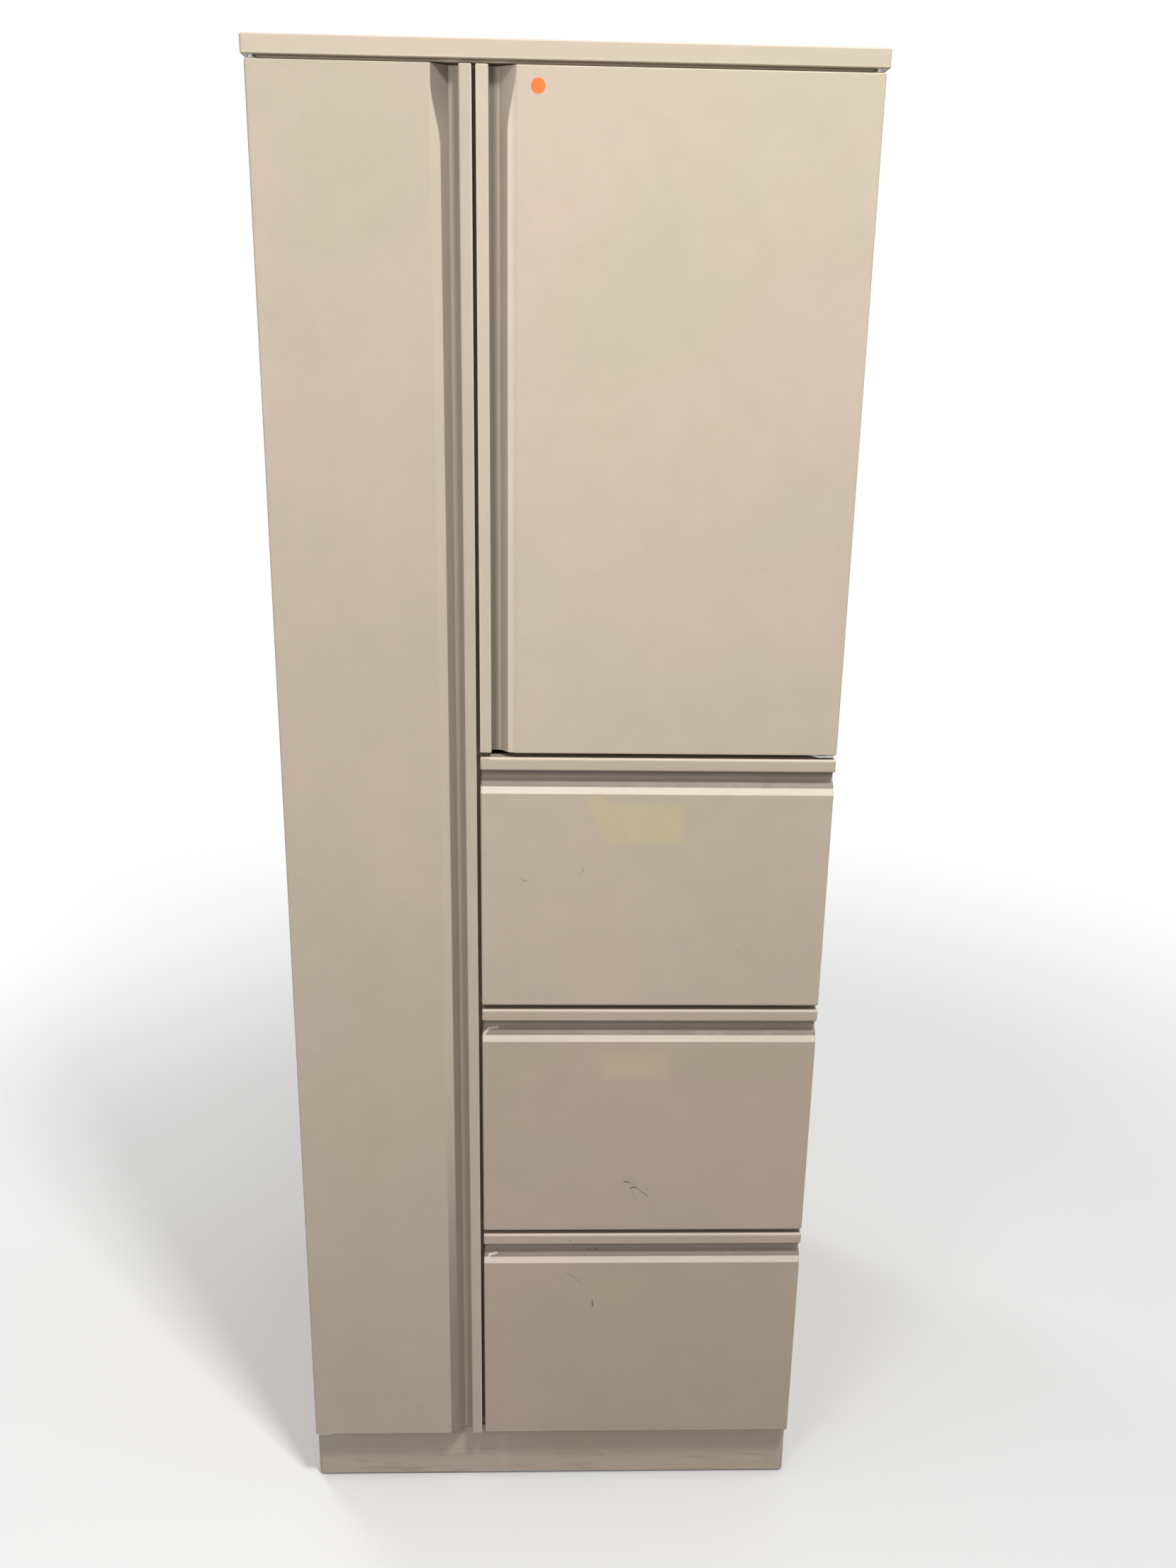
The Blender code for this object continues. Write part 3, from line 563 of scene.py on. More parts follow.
def even_finish(name, colours, patch, shine_patch, shiniest, dullest):
    """A plain finish, whose colour and roughness still drift a little from place to place."""
    finish, tree, shader, place = new_finish(name)
    tree.links.new(tones(tree, clouds(tree, place, patch), colours), shader.inputs["Base Color"])
    tree.links.new(drifting(tree, place, shine_patch, shiniest, dullest),
                   shader.inputs["Roughness"])
    return finish, tree, shader, place


def plated(name, colours, roughness, patch=0.006):
    """Bright plating on steel, with fine drawn lines."""
    metal, tree, shader, place = even_finish(
        name, colours, patch, patch / 2, roughness - 0.05, roughness + 0.08)
    shader.inputs["Metallic"].default_value = 1
    lengthwise = reckon_place(tree, "MULTIPLY", place, DRAWN_STRETCH)
    roughen(tree, shader, clouds(tree, lengthwise, DRAWN_LINE, 2), 0.12, DRAWN_DEPTH)
    return metal


zinc = plated("zinc_plate", ((190, 193, 195), (200, 201, 198), (196, 195, 188)), 0.36)
root = STEM_RADIUS - THREAD_DEPTH
nut = [(STEM_RADIUS - 0.0002, 0), (NUT_RADIUS - NUT_BEVEL, 0), (NUT_RADIUS, NUT_BEVEL),
       (NUT_RADIUS, NUT_HEIGHT - NUT_BEVEL), (NUT_RADIUS - NUT_BEVEL, NUT_HEIGHT),
       (STEM_RADIUS - 0.0002, NUT_HEIGHT)]
for end in ("front_left", "front_right", "rear_left", "rear_right"):
    node = "levelling_glide_" + end
    low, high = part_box(node)
    centre = (low + high) / 2
    radius = (high.x - low.x) / 2
    profile = [(0, 0), (radius - 0.0015, 0), (radius - 0.0004, 0.0004), (radius, 0.0012),
               (radius - 0.0003, 0.002), (radius - 0.0014, FOOT_TOP), (STEM_RADIUS, FOOT_TOP)]
    thread = FOOT_TOP + THREAD_PITCH
    while thread < high.z - THREAD_PITCH:
        profile += [(STEM_RADIUS, thread), (root, thread + THREAD_PITCH / 2)]
        thread += THREAD_PITCH
    profile += [(root, high.z - 0.0004), (STEM_RADIUS - 0.001, high.z), (0, high.z)]
    glide = bmesh.new()
    turn_round(glide, profile, (centre.x, centre.y, 0), (0, 0, 1), 32)
    turn_round(glide, nut, (centre.x, centre.y, NUT_UNDERSIDE), (0, 0, 1), 6)
    face_outward(glide)
    add_piece("glide_" + end, glide, zinc, [node], sharp=28)


# The inner fittings: the hat shelf and the loose shelf, folded sheet with a shallow pressed tray,
# and the wardrobe's chromed tube for hangers, held at each end by a round flange with three
# screws.
TRAY_MARGIN, TRAY_SLOPE, TRAY_DEPTH = 0.018, 0.003, 0.0012
TUBE_RADIUS, FLANGE_THICKNESS, FLANGE_SCREW = 0.0125, 0.003, 0.0026

for name, node in (("hat_shelf_pan", "hat_shelf"), ("loose_shelf_pan", "adjustable_shelf")):
    low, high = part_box(node)
    rims = [(0, low.z, FOLD), *fold_rims(FOLD, FOLD, high.z), (TRAY_MARGIN, high.z, FOLD * 2),
            (TRAY_MARGIN + TRAY_SLOPE, high.z - TRAY_DEPTH, FOLD * 2)]
    shelf = pressed_sheet(low, high, rims, lying)
    add_piece(name, shelf, inside_paint, [node], SHEET)

chrome = plated("rod_chrome", ((206, 206, 204), (212, 212, 210)), 0.14, 0.02)


def screw_head(shape, base, axis, radius):
    """A low round head with a driver recess."""
    turn_round(shape, [(radius, 0), (radius, radius * 0.22), (radius * 0.9, radius * 0.42),
                       (radius * 0.66, radius * 0.55), (radius * 0.4, radius * 0.58),
                       (radius * 0.34, radius * 0.2), (0, radius * 0.16)], base, axis, 20)


low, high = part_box("coat_rod")
centre = (low + high) / 2
radius, length = (high.z - low.z) / 2, high.x - low.x
flange = [(0, 0), (radius, 0), (radius, FLANGE_THICKNESS * 0.5),
          (radius - 0.001, FLANGE_THICKNESS * 0.85), (radius - 0.0025, FLANGE_THICKNESS),
          (TUBE_RADIUS + 0.0008, FLANGE_THICKNESS), (TUBE_RADIUS, FLANGE_THICKNESS + 0.0006)]
rod = bmesh.new()
turn_round(rod, flange + [(r, length - h) for r, h in reversed(flange)],
           (low.x, centre.y, centre.z), (1, 0, 0), 48)
face_outward(rod)
add_piece("hanger_tube", rod, chrome, ["coat_rod"])
screws = bmesh.new()
ring = (radius + TUBE_RADIUS) / 2
for x, inward in ((low.x + FLANGE_THICKNESS, 1), (high.x - FLANGE_THICKNESS, -1)):
    for turn in map(math.radians, (90, 210, 330)):
        at = (x, centre.y + ring * math.cos(turn), centre.z + ring * math.sin(turn))
        screw_head(screws, at, (inward, 0, 0), FLANGE_SCREW)
face_outward(screws)
add_piece("hanger_tube_screws", screws, zinc)


# The four shelf clips: bent strips of zinc-plated steel, hooked into the slots of both walls.
CLIP_BEND, STRIP = 0.0006, 0.0015
SIDES = (("left", 1), ("right", -1))
for row in ("front", "rear"):
    for side, inward in SIDES:
        node = "shelf_clip_" + row + "_" + side
        low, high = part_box(node)
        wall = low.x if inward > 0 else high.x
        reach, drop = high.x - low.x, high.z - low.z
        corners = [(*corner, CLIP_BEND) for corner in (
            (0, 0), (reach, 0), (reach, STRIP), (STRIP, STRIP), (STRIP, drop), (0, drop))]
        clip = drawn_out(
            rounded(corners, 3), (low.y, high.y),
            lambda u, v, w: Vector((wall + inward * u, w, high.z - v)), True, capped=True)
        add_piece("clip_" + row + "_" + side, clip, zinc, [node])


# The cap: one sheet of heavier steel folded down on four sides and in again under its edge,
# where it steps down onto the carcass; a little wider than the sides and proud of the fronts.
# Paler copies of the putty, painted lighter where more light falls: on the cap and on the right
# door.
PAINTED_LIT_PUTTY = ((210, 191, 173), (206, 190, 170), (202, 190, 167))
CAP_LOW, CAP_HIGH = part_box("top_cap")
CAP_LIP, CAP_CORNER, CAP_STEP, CAP_STEP_RISE = 0.03, 0.0034, 0.011, 0.0016
CAP_LOWER_BEND, CAP_UPPER_BEND = 0.0013, 0.0015
FOLD_END = CAP_LOW.z + CAP_STEP_RISE
# A painted highlight along the cap's lower fold, and a darker tone on its top.
CAP_FOLD_HIGHLIGHT, FOLD_HIGHLIGHT_TO, FOLD_HIGHLIGHT_FROM = 1.1, FOLD_END + 0.003, FOLD_END + 0.001
CAP_TOP_TONE, TOP_TONE_FROM, TOP_TONE_FULL = 0.82, CAP_HIGH.z - 0.001, CAP_HIGH.z - 0.0001


def fold_highlight_darker_top(tree, place, colour):
    """The paint is painted paler along the cap's lower fold as a painted highlight, and is darker on
    its top.
    """
    height = add_node(tree, "SeparateXYZ", {0: place}).outputs["Z"]
    fold_highlight = ramp_up(tree, height, FOLD_HIGHLIGHT_TO, FOLD_HIGHLIGHT_FROM, 1, CAP_FOLD_HIGHLIGHT)
    top_tone = ramp_up(tree, height, TOP_TONE_FROM, TOP_TONE_FULL, 1, CAP_TOP_TONE)
    return dimmed(tree, colour, reckon(tree, "MULTIPLY", fold_highlight, top_tone))


rims = [(CAP_LIP, CAP_LOW.z, CAP_CORNER), (CAP_STEP + CAP_STEP_RISE, CAP_LOW.z, CAP_CORNER),
        (CAP_STEP, FOLD_END, CAP_CORNER), *fold_rims(CAP_LOWER_BEND, CAP_CORNER, FOLD_END, 1)[::-1],
        *fold_rims(CAP_UPPER_BEND, CAP_CORNER, CAP_HIGH.z)]
cap = pressed_sheet(CAP_LOW, CAP_HIGH, rims, lying)
cap_paint = putty_paint("cap_paint", PAINTED_LIT_PUTTY, fold_highlight_darker_top)
add_piece("folded_cap", cap, cap_paint, ["top_cap"], HEAVY_SHEET)


# The door skins: thin sheet steel folded back on four sides, with a full-length pull folded
# along the free edge: a rib, a flat floor, a steep wall and a shallow bevel out to the face.
# Towards a door's top the wall sweeps out over the bevel; down the tall door the bevel steepens.
FRONT_THICKNESS = 0.0185
PULL_DEPTH = 0.012
RIB_INNER_BEND, PULL_FOOT_BEND, PULL_FLOOR_BEND = 0.0026, 0.0008, 0.0014
BEVEL_DEPTH, BEVEL_BEND = 0.003, 0.0036
SWEPT_BEVEL, SWEPT_DEPTH = 0.002, 0.0012
STEEP_DEPTH, STEEP_BELOW, SHALLOW_ABOVE = 0.0053, 0.12, 0.55
FACE_FROM, GRID, END_ZONE, END_GRID, BEND_STEPS = 0.0425, 0.022, 0.076, 0.006, 8
WAVE_DEPTH, WAVE_LENGTH, WAVE_MARGIN = 0.00022, 0.16, 0.045
# Painted shade and highlights on the fronts: these tones darken the gaps and the pull, and paint the
# free edge, the rib and the bevel paler as highlights. The brightest and palest set how far a
# painted highlight goes and where it loses its hue.
SHADE_SPAN, GAP_SHADE, RIB_HIGHLIGHT, EDGE_HIGHLIGHT = 0.05, 0.6, 1.1, 1.3
BRIGHTEST, PALEST, PALEST_HUE = 1.5, 1.4, 0.75
EDGE_PEAK, EDGE_FADE, RIB_PEAK, CREASE = 0.0004, 0.002, 0.0008, 0.0006
WALL_BLEND, FAR_SHADE_FROM, FAR_SHADE_FULL = 0.0005, 0.001, 0.0002
DOOR_PULL = (0.0127, 0.0225, 0.0304, 0.0396)
DOOR_SWEEP = {"left": (0.074, 0.016), "right": (0.06, 0.0)}
DOOR_RIB_BEND, DOOR_END_FOLD, TALL_BOW = 0.0018, 0.0015, 0.0006
DOOR_WALL_BEND = {"left": 0.005, "right": 0.0036}


def inward_steps(points):
    """For each point of a line, the step that moves it one unit into the metal."""
    sides = []
    for first, second in zip(points, points[1:]):
        along = (second - first).normalized()
        sides.append(Vector((-along.y, along.x)))
    steps = [(a + b) / (1 + a.dot(b)) for a, b in zip(sides, sides[1:])]
    return [sides[0], *steps, sides[-1]]


def pull_section(width, lines, rib_bend, far_bend, wall_bend, wall_depth=BEVEL_DEPTH):
    """The section across a front's pull: u runs from the free edge, v to the back; the lines are
    how far from the edge the rib, the floor, the wall and the bevel end."""
    rib, foot, corner, until = lines
    line = rounded([
        (0, FRONT_THICKNESS, 0), (0, 0, rib_bend), (rib, 0, RIB_INNER_BEND),
        (rib, PULL_DEPTH, PULL_FOOT_BEND), (foot, PULL_DEPTH, PULL_FLOOR_BEND),
        (corner, wall_depth, wall_bend), (until, 0, BEVEL_BEND), (width, 0, far_bend),
        (width, FRONT_THICKNESS, 0)], BEND_STEPS)
    before_fold = len(line) - BEND_STEPS - 2
    face = [Vector((u, 0)) for u in spread(FACE_FROM, width - far_bend, GRID)[:-1]]
    return line[:before_fold] + face + line[before_fold:]


def eased(value, start, end):
    """A smooth climb from nothing at start to one at end."""
    share = min(1, max(0, (value - start) / (end - start)))
    return share * share * (3 - 2 * share)


def front_skin(width, length, place, lines, rib_bend, end_fold, wall_bend, sweep=None,
               steepened=False, bow=0, back_lip=0):
    """A folded front, whose flat face stands a hair out of true away from its stiff folds. The
    pull's wall may sweep out below the far end, and its bevel may steepen to the near end."""
    far_bend = end_fold + SHEET
    rib, foot, _, until = lines
    full = pull_section(width, lines, rib_bend, far_bend, wall_bend)
    swept = pull_section(
        width, (rib, foot, until - SWEPT_BEVEL, until), rib_bend, far_bend, BEVEL_BEND, SWEPT_DEPTH)
    steep = pull_section(width, lines, rib_bend, far_bend, wall_bend, STEEP_DEPTH)
    bend = quarter_bend(end_fold, 5)
    rows = [(along, draw) for draw, along in bend]
    rows += [(w, 0) for w in spread(end_fold, END_ZONE, END_GRID)[1:]
             + spread(END_ZONE, length - END_ZONE, GRID)[1:-1]
             + spread(length - END_ZONE, length - end_fold, END_GRID)[:-1]]
    rows += [(length - along, draw) for draw, along in reversed(bend)]
    shape = bmesh.new()
    rings = []
    for w, draw in rows:
        ring = []
        out = eased(length - w, *sweep) if sweep else 0
        down = eased(w, SHALLOW_ABOVE, STEEP_BELOW) if steepened else 0
        section = [a + (b - a) * out + (c - a) * down for a, b, c in zip(full, swept, steep)]
        for point, step in zip(section, inward_steps(section)):
            u, v = point + step * draw
            if u > until and v < end_fold:
                sway = noise.noise(place(u, 0, w) / WAVE_LENGTH) * 0.5 + 0.5
                free = [eased(reach, 0, WAVE_MARGIN)
                        for reach in (u - until, width - u, w, length - w)]
                v += WAVE_DEPTH * sway * (free[0] * free[1]) * free[2] * free[3]
            if u < until:
                u += bow * math.sin(math.pi * w / length) ** 2 * (1 - u / until)
            ring.append(shape.verts.new(place(u, v, w)))
        rings.append(ring)
    join_rings(shape, rings, closed=False)
    shape.faces.new(rings[0])
    shape.faces.new(rings[-1])
    face_outward(shape)
    if back_lip:
        frames = []
        for inset in (SHEET, back_lip):
            far, top = width - inset, length - inset
            corners = ((inset, inset), (far, inset), (far, top), (inset, top))
            frames.append([shape.verts.new(place(u, FRONT_THICKNESS, w)) for u, w in corners])
        existing = set(shape.faces)
        join_rings(shape, frames)
        for face in set(shape.faces) - existing:
            face.normal_update()
            if face.normal.y < 0:
                face.normal_flip()
    return shape


def along_gap(tree, gap, stops):
    """A tone by the distance from a free edge; each stop is (distance, tone)."""
    greys = [(reach / SHADE_SPAN, (*[tone / BRIGHTEST] * 3, 1)) for reach, tone in stops]
    grey = graded(tree, reckon(tree, "DIVIDE", gap, SHADE_SPAN), greys)
    return reckon(tree, "MULTIPLY", grey, BRIGHTEST)


def pull_shade_highlights_and_marks(axis, free_edge, span, lines, floor_tones, wall_tones, on_bevel, fades_from,
            marks=(), ends=None, sweep=None, in_sweep=1.0, steepened=False):
    """Painted shade in a pull and in the gaps round a front, painted highlights on its edges, rib
    and bevel, and its marks. The axis, X or Z, runs across the pull from its free edge, over the
    front's span; ends are the lowest and highest z of an upright pull, whose wall sweeps out at its
    top and has more painted shade there."""
    rib, foot, corner, until = lines

    def mark(tree, place, colour):
        parts = add_node(tree, "SeparateXYZ", {0: place}).outputs
        gap = reckon(tree, "ABSOLUTE", reckon(tree, "SUBTRACT", parts[axis], free_edge))
        inner = along_gap(tree, gap, (
            (0, GAP_SHADE), (EDGE_PEAK, EDGE_HIGHLIGHT), (EDGE_FADE, 1), (rib - EDGE_FADE, 1),
            (rib - RIB_PEAK, RIB_HIGHLIGHT), *floor_tones, *wall_tones))
        bevel, moved_corner = on_bevel, corner
        if steepened:
            height = reckon(tree, "SUBTRACT", parts["Z"], ends[0])
            bevel = ramp_up(tree, height, STEEP_BELOW, SHALLOW_ABOVE, wall_tones[-1][1], on_bevel)
        if sweep:
            top_down = reckon(tree, "SUBTRACT", ends[1], parts["Z"])
            moved_corner = ramp_up(tree, top_down, *sweep, corner, until - CREASE)
            above = ramp_up(tree, gap, foot - CREASE / 2, foot + CREASE / 2, 1,
                            ramp_up(tree, top_down, *sweep, 1, in_sweep))
            inner = reckon(tree, "MULTIPLY", inner, above)
        outer = ramp_up(tree, gap, fades_from, until + CREASE, bevel, 1)
        past = reckon(tree, "SUBTRACT", gap, moved_corner)
        past_wall = ramp_up(tree, past, -WALL_BLEND, WALL_BLEND)
        value = add_node(tree, "Mix", {0: past_wall, 2: inner, 3: outer}).outputs[0]
        far_side = ramp_up(tree, gap, span - FAR_SHADE_FROM, span - FAR_SHADE_FULL, 1, GAP_SHADE)
        value = reckon(tree, "MULTIPLY", value, far_side)
        colour = dimmed(tree, colour, value, ramp_up(tree, value, RIB_HIGHLIGHT, PALEST, 1, PALEST_HUE))
        for lay_on in marks:
            colour = lay_on(tree, place, colour)
        return colour
    return mark


DOORS = {}
for side, inward in SIDES:
    low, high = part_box(side + "_door_skin")
    DOORS[side] = (low, high, high.x if inward > 0 else low.x, -inward)
TALL_DOOR_MARKS = [scratched([(0.0006, 0.5, -0.169, 0.1275, -0.1668, 0.1263),
                              (0.0008, 0.6, -0.1335, 0.095, -0.1318, 0.0938)])]
DOOR_RIB, DOOR_FOOT, DOOR_CORNER, DOOR_FACE = DOOR_PULL
# Painted shade along the doors' pulls: darker tones on the floor beside the rib and on the wall,
# darker still where the wall sweeps out at the top. The bevel is painted paler as a highlight, more
# on the right door.
FLOOR_SHADE = {
    "left": ((DOOR_RIB, 0.8), (DOOR_RIB + 0.004, 0.72), (DOOR_FOOT - CREASE, 0.66)),
    "right": ((DOOR_RIB, 0.4), (DOOR_RIB + 0.003, 0.34), (DOOR_RIB + 0.0054, 0.41),
              (DOOR_RIB + 0.0074, 0.55), (DOOR_FOOT - CREASE, 0.67)),
}
WALL_SHADE = {"left": ((DOOR_FOOT + 0.0004, 0.56),),
              "right": ((DOOR_FOOT + 0.0004, 0.74), (0.029, 0.8))}
SWEPT_SHADE = {"left": 0.66, "right": 0.88}
BEVEL_HIGHLIGHT = {"left": 1.05, "right": 1.24}
BEVEL_FADES_FROM = {"left": DOOR_FACE - CREASE, "right": DOOR_CORNER}
# The left door's paint is a shade darker and the right door's paler: painted shade and painted light
# for how the light fell across them.
DOOR_TONES = {"left": ((201, 184, 166), (198, 182, 163), (194, 182, 160)), "right": PAINTED_LIT_PUTTY}
for side, (low, high, free_edge, outward) in DOORS.items():
    def on_door(u, v, w):
        return Vector((free_edge + outward * u, low.y + v, low.z + w))

    tall, sweep = side == "left", DOOR_SWEEP[side]
    skin = front_skin(
        high.x - low.x, high.z - low.z, on_door, DOOR_PULL, DOOR_RIB_BEND, DOOR_END_FOLD,
        DOOR_WALL_BEND[side], sweep, tall, bow=TALL_BOW if tall else 0)
    # The door's paint gets painted shade in its pull and gaps, painted highlights on its edges and
    # bevel, and its scratches.
    shade_and_marks = pull_shade_highlights_and_marks("X", free_edge, high.x - low.x, DOOR_PULL, FLOOR_SHADE[side],
                    WALL_SHADE[side], BEVEL_HIGHLIGHT[side], BEVEL_FADES_FROM[side],
                    TALL_DOOR_MARKS if tall else [], (low.z, high.z), sweep, SWEPT_SHADE[side],
                    tall)
    paint = putty_paint(side + "_door_paint", DOOR_TONES[side], shade_and_marks)
    add_piece(side + "_door_outer_skin", skin, paint, [side + "_door_skin"],
              SHEET, body=side + "_door")


# A round paper label, plain orange, stuck to the right door near its top.
LABEL_CENTRE, LABEL_RADIUS, LABEL_THICKNESS = (-0.0276, 1.6565), 0.0069, 0.00015
paper = even_finish("orange_paper", ((243, 118, 46), (248, 128, 55)), 0.002, 0.001, 0.55, 0.7)[0]
label = bmesh.new()
face_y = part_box("right_door_skin")[0].y
turn_round(label, [(0, -0.0001), (LABEL_RADIUS, -0.0001), (LABEL_RADIUS, LABEL_THICKNESS - 0.00005),
                   (LABEL_RADIUS - 0.0001, LABEL_THICKNESS), (0, LABEL_THICKNESS)],
           (LABEL_CENTRE[0], face_y, LABEL_CENTRE[1]), (0, -1, 0), 40)
face_outward(label)
add_piece("price_label", label, paper, body="right_door")


# The inner pans that close the doors' backs, with a pressed field that keeps them flat.
PAN_BEND, PAN_MARGIN, PAN_SLOPE, PAN_PRESS, PAN_CORNER = 0.001, 0.027, 0.003, 0.002, 0.008
for side in DOORS:
    low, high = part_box(side + "_door_inner_pan")
    rims = [(0, low.y, PAN_BEND), *fold_rims(PAN_BEND, PAN_BEND, high.y, steps=4),
            (PAN_MARGIN, high.y, PAN_CORNER),
            (PAN_MARGIN + PAN_SLOPE, high.y - PAN_PRESS, PAN_CORNER - 0.002)]
    pan = pressed_sheet((low.x, low.z), (high.x, high.z), rims, standing)
    add_piece(side + "_door_back_pan", pan, inside_paint,
              [side + "_door_inner_pan"], SHEET, body=side + "_door")


# The door pivots: zinc-plated pins and plates on the carcass, in white nylon bushes that are
# pressed into each door's ends.
nylon, tree, shader, place = even_finish(
    "white_nylon", ((226, 222, 210), (232, 229, 219)), 0.003, 0.002, 0.42, 0.52)
shader.inputs["Subsurface Weight"].default_value = 0.05
roughen(tree, shader, clouds(tree, place, 0.0006), 0.1, 0.0001)
for side in DOORS:
    coat(zinc, side + "_door_top_pivot", side + "_door_bottom_pivot")
    coat(nylon, side + "_door_top_bush", side + "_door_bottom_bush")


# The magnetic catches: a black plastic case on the divider with two steel pole plates that the
# door's pan meets, held by two screws.
CATCH_BEND, CATCH_SCREW, SCREW_INSET, SCREW_BACK = 0.0012, 0.0032, 0.008, 0.004
POLE_REACH, POLE_THICKNESS, POLE_BEND = 0.0008, 0.0016, 0.0004
POLE_MARGIN, POLE_INSET, POLE_SUNK = 0.004, 0.0045, 0.001
black, tree, shader, place = even_finish(
    "black_plastic", ((34, 34, 35), (44, 43, 43)), 0.003, 0.001, 0.4, 0.55)
roughen(tree, shader, clouds(tree, place, 0.0005, 1), 0.3, 0.0001)
for side, inward in SIDES:
    node = side + "_door_catch"
    low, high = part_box(node)
    front = low.y + POLE_REACH
    rims = [*fold_rims(CATCH_BEND, CATCH_BEND, front, 1)[::-1],
            *fold_rims(CATCH_BEND, CATCH_BEND, high.y)]
    case = pressed_sheet((low.x, low.z), (high.x, high.z), rims, standing, both_ends=True)
    add_piece(side + "_catch_case", case, black, [node])
    poles = bmesh.new()
    bottom, top = low.z + POLE_MARGIN, high.z - POLE_MARGIN
    for x in (low.x + POLE_INSET, high.x - POLE_INSET):
        near, far = x - POLE_THICKNESS / 2, x + POLE_THICKNESS / 2
        corners = [(*corner, POLE_BEND)
                   for corner in ((near, bottom), (far, bottom), (far, top), (near, top))]
        rings = [[poles.verts.new((p.x, y, p.y)) for p in rounded(corners, 2)]
                 for y in (low.y, front + POLE_SUNK)]
        join_rings(poles, rings)
        poles.faces.new(rings[0])
    face_outward(poles)
    add_piece(side + "_catch_poles", poles, zinc)
    outer = low.x if inward > 0 else high.x
    heads = bmesh.new()
    for z in (low.z + SCREW_INSET, high.z - SCREW_INSET):
        screw_head(heads, (outer, (low.y + high.y) / 2 + SCREW_BACK, z), (-inward, 0, 0),
                   CATCH_SCREW)
    face_outward(heads)
    add_piece(side + "_catch_screws", heads, zinc)


# The drawer fronts: the same sheet and the same folded pull, here along the top edge, closed at
# the back by a return on all four sides. They carry the marks of years of use.
BACK_LIP = 0.03
DRAWER_RIB_BEND, DRAWER_END_FOLD, DRAWER_WALL_BEND = 0.0032, 0.0024, 0.0036
DRAWER_PULL = (0.015, 0.0248, 0.0339, 0.0412)
# Painted shade along the drawers' pulls: the floor under the rib is painted dark as shadow and the
# wall a mid tone. The bevel is painted pale as a highlight.
DRAWER_FLOOR_SHADE = ((0.015, 0.3), (0.0195, 0.38), (0.0236, 0.6))
DRAWER_WALL_SHADE = ((0.0252, 0.8), (0.0285, 0.56), (0.0331, 0.44))
DRAWER_BEVEL_HIGHLIGHT, DRAWER_FADES_FROM = 1.33, DRAWER_PULL[3] - 0.0004
# The lower drawers' tones are darker, painted shade for the weaker light low down.
UPPER_TONES = ((202, 184, 166), (198, 182, 163), (194, 182, 160))
PAINTED_SHADE_LOWER_TONES = ((195, 175, 158), (191, 173, 155), (188, 173, 152))
# A pale curved patch on the wall at the left end of the lower drawers' pulls, a painted highlight
# where light falls in at the pull's open end.
PULL_END_HIGHLIGHT, PULL_END_STROKE = (232, 218, 202), (0.0016, 0.7)
TAPE_YELLOW, TAPE_STRENGTH, BETWEEN_BANDS = (212, 190, 146), 0.5, 0.75


def taped(tree, place, colour):
    """Yellowed glue left by tape, thicker in three bands."""
    ragged = ramp_up(tree, clouds(tree, place, 0.006, 4), 0.3, 0.55, 0.45, 1.0)
    bands = [stroke(tree, place, 0.043, 0.939, 0.063, 0.902, 0.017),
             soft_box(tree, place, (0.098, 0.905), (0.088, 0.026), 0.25),
             soft_box(tree, place, (0.126, 0.92), (0.024, 0.044), 0.25)]
    whole = soft_box(tree, place, (0.095, 0.918), (0.09, 0.048), 0.2)
    glue = reckon(tree, "MULTIPLY", whole, BETWEEN_BANDS)
    for band in bands:
        glue = reckon(tree, "MAXIMUM", glue, band)
    glue = reckon(tree, "MULTIPLY", glue, ragged)
    return stained(tree, colour, glue, TAPE_STRENGTH, TAPE_YELLOW)


def yellowed(centre, size, softness, strength, stain):
    """A faint patch of old glue."""
    return lambda tree, place, colour: stained(
        tree, colour, soft_box(tree, place, centre, size, softness), strength, stain)


DRAWERS = {
    "drawer_1": (UPPER_TONES, [
        taped,
        scratched([(0.0009, 0.45, -0.0852, 0.9906, -0.0775, 0.9897),
                   (0.0007, 0.45, 0.0284, 0.8638, 0.0268, 0.86),
                   (0.0007, 0.35, 0.0268, 0.86, 0.024, 0.8547),
                   (0.0007, 0.45, -0.0419, 0.8503, -0.039, 0.8482, -0.0356, 0.8474),
                   (0.0006, 0.5, 0.2055, 0.764, 0.2075, 0.7624),
                   (0.0006, 0.4, 0.2215, 0.7718, 0.2231, 0.7706)])]),
    "drawer_2": (PAINTED_SHADE_LOWER_TONES, [
        yellowed((0.092, 0.613), (0.105, 0.045), 0.6, 0.3, (212, 192, 152)),
        scratched([(*PULL_END_STROKE, -0.085, 0.654, -0.08, 0.659, -0.0695, 0.66)], PULL_END_HIGHLIGHT),
        scratched([(0.0011, 0.85, 0.0828, 0.4571, 0.089, 0.4562),
                   (0.0007, 0.5, 0.089, 0.4562, 0.0967, 0.4521),
                   (0.0012, 0.85, 0.0908, 0.4481, 0.097, 0.4492),
                   (0.0007, 0.7, 0.097, 0.4492, 0.1126, 0.4361),
                   (0.0006, 0.45, 0.1085, 0.4494, 0.1141, 0.4441),
                   (0.0005, 0.35, 0.0927, 0.444, 0.0945, 0.4385, 0.099, 0.4331)])]),
    "drawer_3": (PAINTED_SHADE_LOWER_TONES, [
        yellowed((0.075, 0.3), (0.07, 0.06), 0.7, 0.14, (208, 188, 150)),
        scratched([(*PULL_END_STROKE, -0.0835, 0.3455, -0.08, 0.3505, -0.0715, 0.352)], PULL_END_HIGHLIGHT),
        scratched([(0.0013, 0.8, 0.0476, 0.285, 0.0479, 0.2775),
                   (0.0007, 0.45, 0.0139, 0.3254, 0.024, 0.3205, 0.0326, 0.3117),
                   (0.0008, 0.5, 0.0395, 0.3545, 0.045, 0.3545),
                   (0.0009, 0.7, 0.049, 0.3548, 0.053, 0.3546),
                   (0.0011, 0.5, 0.0185, 0.3738, 0.0205, 0.3732)])]),
}
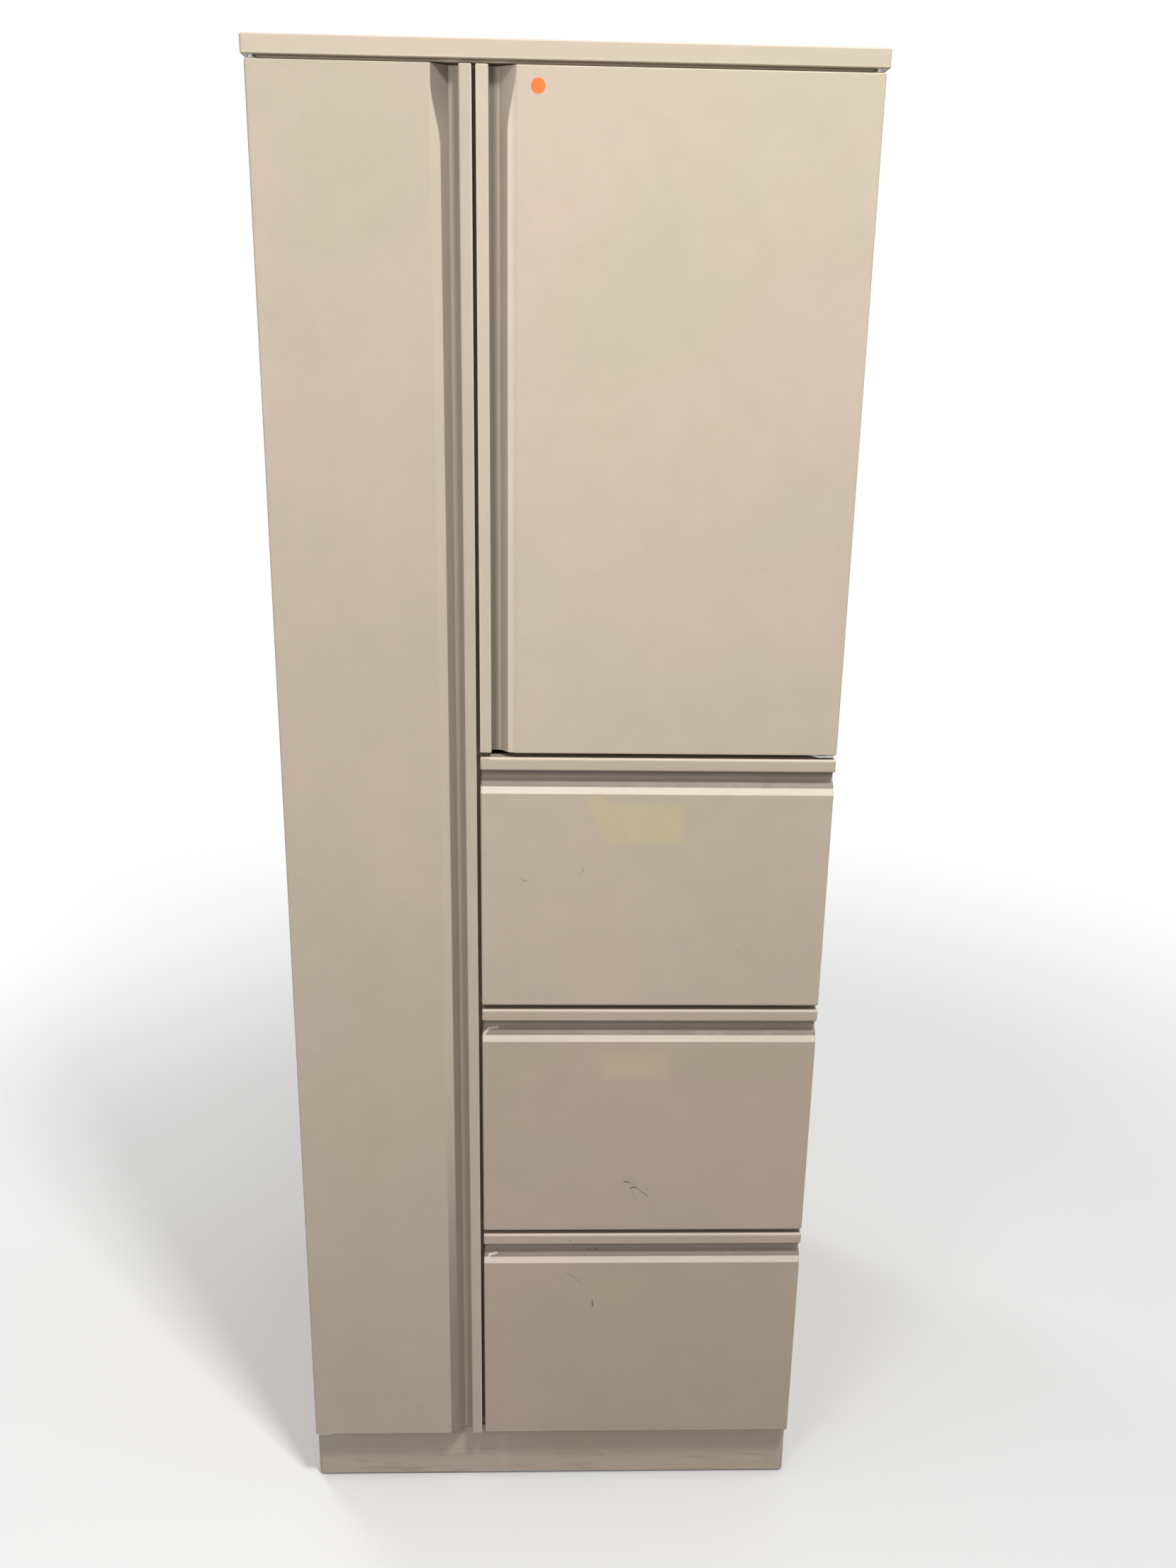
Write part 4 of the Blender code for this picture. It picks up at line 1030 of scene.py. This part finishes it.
for drawer, (shades, marks) in DRAWERS.items():
    low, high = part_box(drawer + "_front")

    def on_front(u, v, w):
        return Vector((low.x + w, low.y + v, high.z - u))

    skin = front_skin(high.z - low.z, high.x - low.x, on_front, DRAWER_PULL, DRAWER_RIB_BEND,
                      DRAWER_END_FOLD, DRAWER_WALL_BEND, back_lip=BACK_LIP)
    # The drawer's paint gets painted shade in its pull and gaps, painted highlights on its edges and
    # bevel, and its marks.
    shade_and_marks = pull_shade_highlights_and_marks("Z", high.z, high.z - low.z, DRAWER_PULL, DRAWER_FLOOR_SHADE,
                    DRAWER_WALL_SHADE, DRAWER_BEVEL_HIGHLIGHT, DRAWER_FADES_FROM, marks)
    paint = putty_paint(drawer + "_paint", shades, shade_and_marks)
    add_piece(drawer + "_outer_skin", skin, paint, [drawer + "_front"], SHEET,
              body=drawer)


# The drawer tubs: pressed pans with rounded corners and a stiffened bottom; the side walls rise
# and step in to a rail that hanging folders ride on.
TUB_CORNER, TUB_BEND = 0.003, 0.002
RAIL_SHELF, RAIL_LIP, RAIL_RISE, RAIL_BEND, RAIL_LAP = 0.008, 0.006, 0.012, 0.0015, 0.001
TUB_FIELD, TUB_FIELD_SLOPE, TUB_FIELD_DEPTH, FIELD_CORNER = 0.028, 0.005, 0.002, 0.01
for drawer in DRAWERS:
    low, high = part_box(drawer + "_tub")
    wall_top = high.z - RAIL_LIP - RAIL_RISE
    rims = [(0, wall_top, TUB_CORNER), *fold_rims(TUB_BEND, TUB_CORNER, low.z, 1, 4),
            (TUB_FIELD, low.z, FIELD_CORNER),
            (TUB_FIELD + TUB_FIELD_SLOPE, low.z + TUB_FIELD_DEPTH, FIELD_CORNER - 0.002)]
    tub = pressed_sheet(low, high, rims, lying)
    add_piece(drawer + "_pan", tub, inside_paint, [drawer + "_tub"], SHEET,
              body=drawer)
    shelf_level = wall_top + RAIL_RISE
    section = rounded([(0, wall_top - RAIL_LAP, 0), (0, shelf_level, RAIL_BEND),
                       (RAIL_SHELF, shelf_level, RAIL_BEND), (RAIL_SHELF, high.z, 0)])
    for side, inward in SIDES:
        wall = low.x if inward > 0 else high.x
        rail = drawn_out(section, (low.y + TUB_CORNER, high.y - TUB_CORNER),
                         lambda u, v, w: Vector((wall + inward * u, w, v)))
        add_piece(drawer + "_file_rail_" + side, rail, inside_paint, sheet=SHEET,
                  body=drawer)


# The drawer slides: three zinc-plated channels on each side, nested in one another, whose webs
# are punched with a row of long holes for mounting screws.
SLIDE_BEND = 0.0015
HOLE_HEIGHT, HOLE_LENGTH, HOLE_PITCH, HOLE_FROM = 0.0046, 0.011, 0.064, 0.03
slide_zinc = plated("slide_zinc", ((184, 188, 190), (196, 198, 197), (190, 190, 184)), 0.34, 0.012)
for drawer in DRAWERS:
    for side, inward in SIDES:
        for member, body in (("cabinet", "cabinet"), ("middle", drawer + "_middle"),
                             ("inner", drawer)):
            node = "_".join((drawer, "slide", side, member))
            low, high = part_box(node)
            web_left = (inward > 0) == (member != "inner")
            web, edge = (low.x, high.x) if web_left else (high.x, low.x)
            middle = (low.z + high.z) / 2
            section = rounded([(edge, high.z, 0), (web, high.z, SLIDE_BEND),
                               (web, middle + HOLE_HEIGHT / 2, 0),
                               (web, middle - HOLE_HEIGHT / 2, 0),
                               (web, low.z, SLIDE_BEND), (edge, low.z, 0)], 4)
            holes = [low.y + HOLE_FROM + HOLE_PITCH * step
                     for step in range(int((high.y - low.y - 2 * HOLE_FROM) / HOLE_PITCH) + 1)]
            stations = [low.y, *[y + end for y in holes for end in (0, HOLE_LENGTH)], high.y]

            def punched(p):
                return (abs(p.z - middle) < HOLE_HEIGHT / 2
                        and any(y < p.y < y + HOLE_LENGTH for y in holes))

            channel = drawn_out(section, stations, standing, punched=punched)
            add_piece("_".join((drawer, side, member, "channel")), channel, slide_zinc,
                      [node], HEAVY_SHEET, body=body)
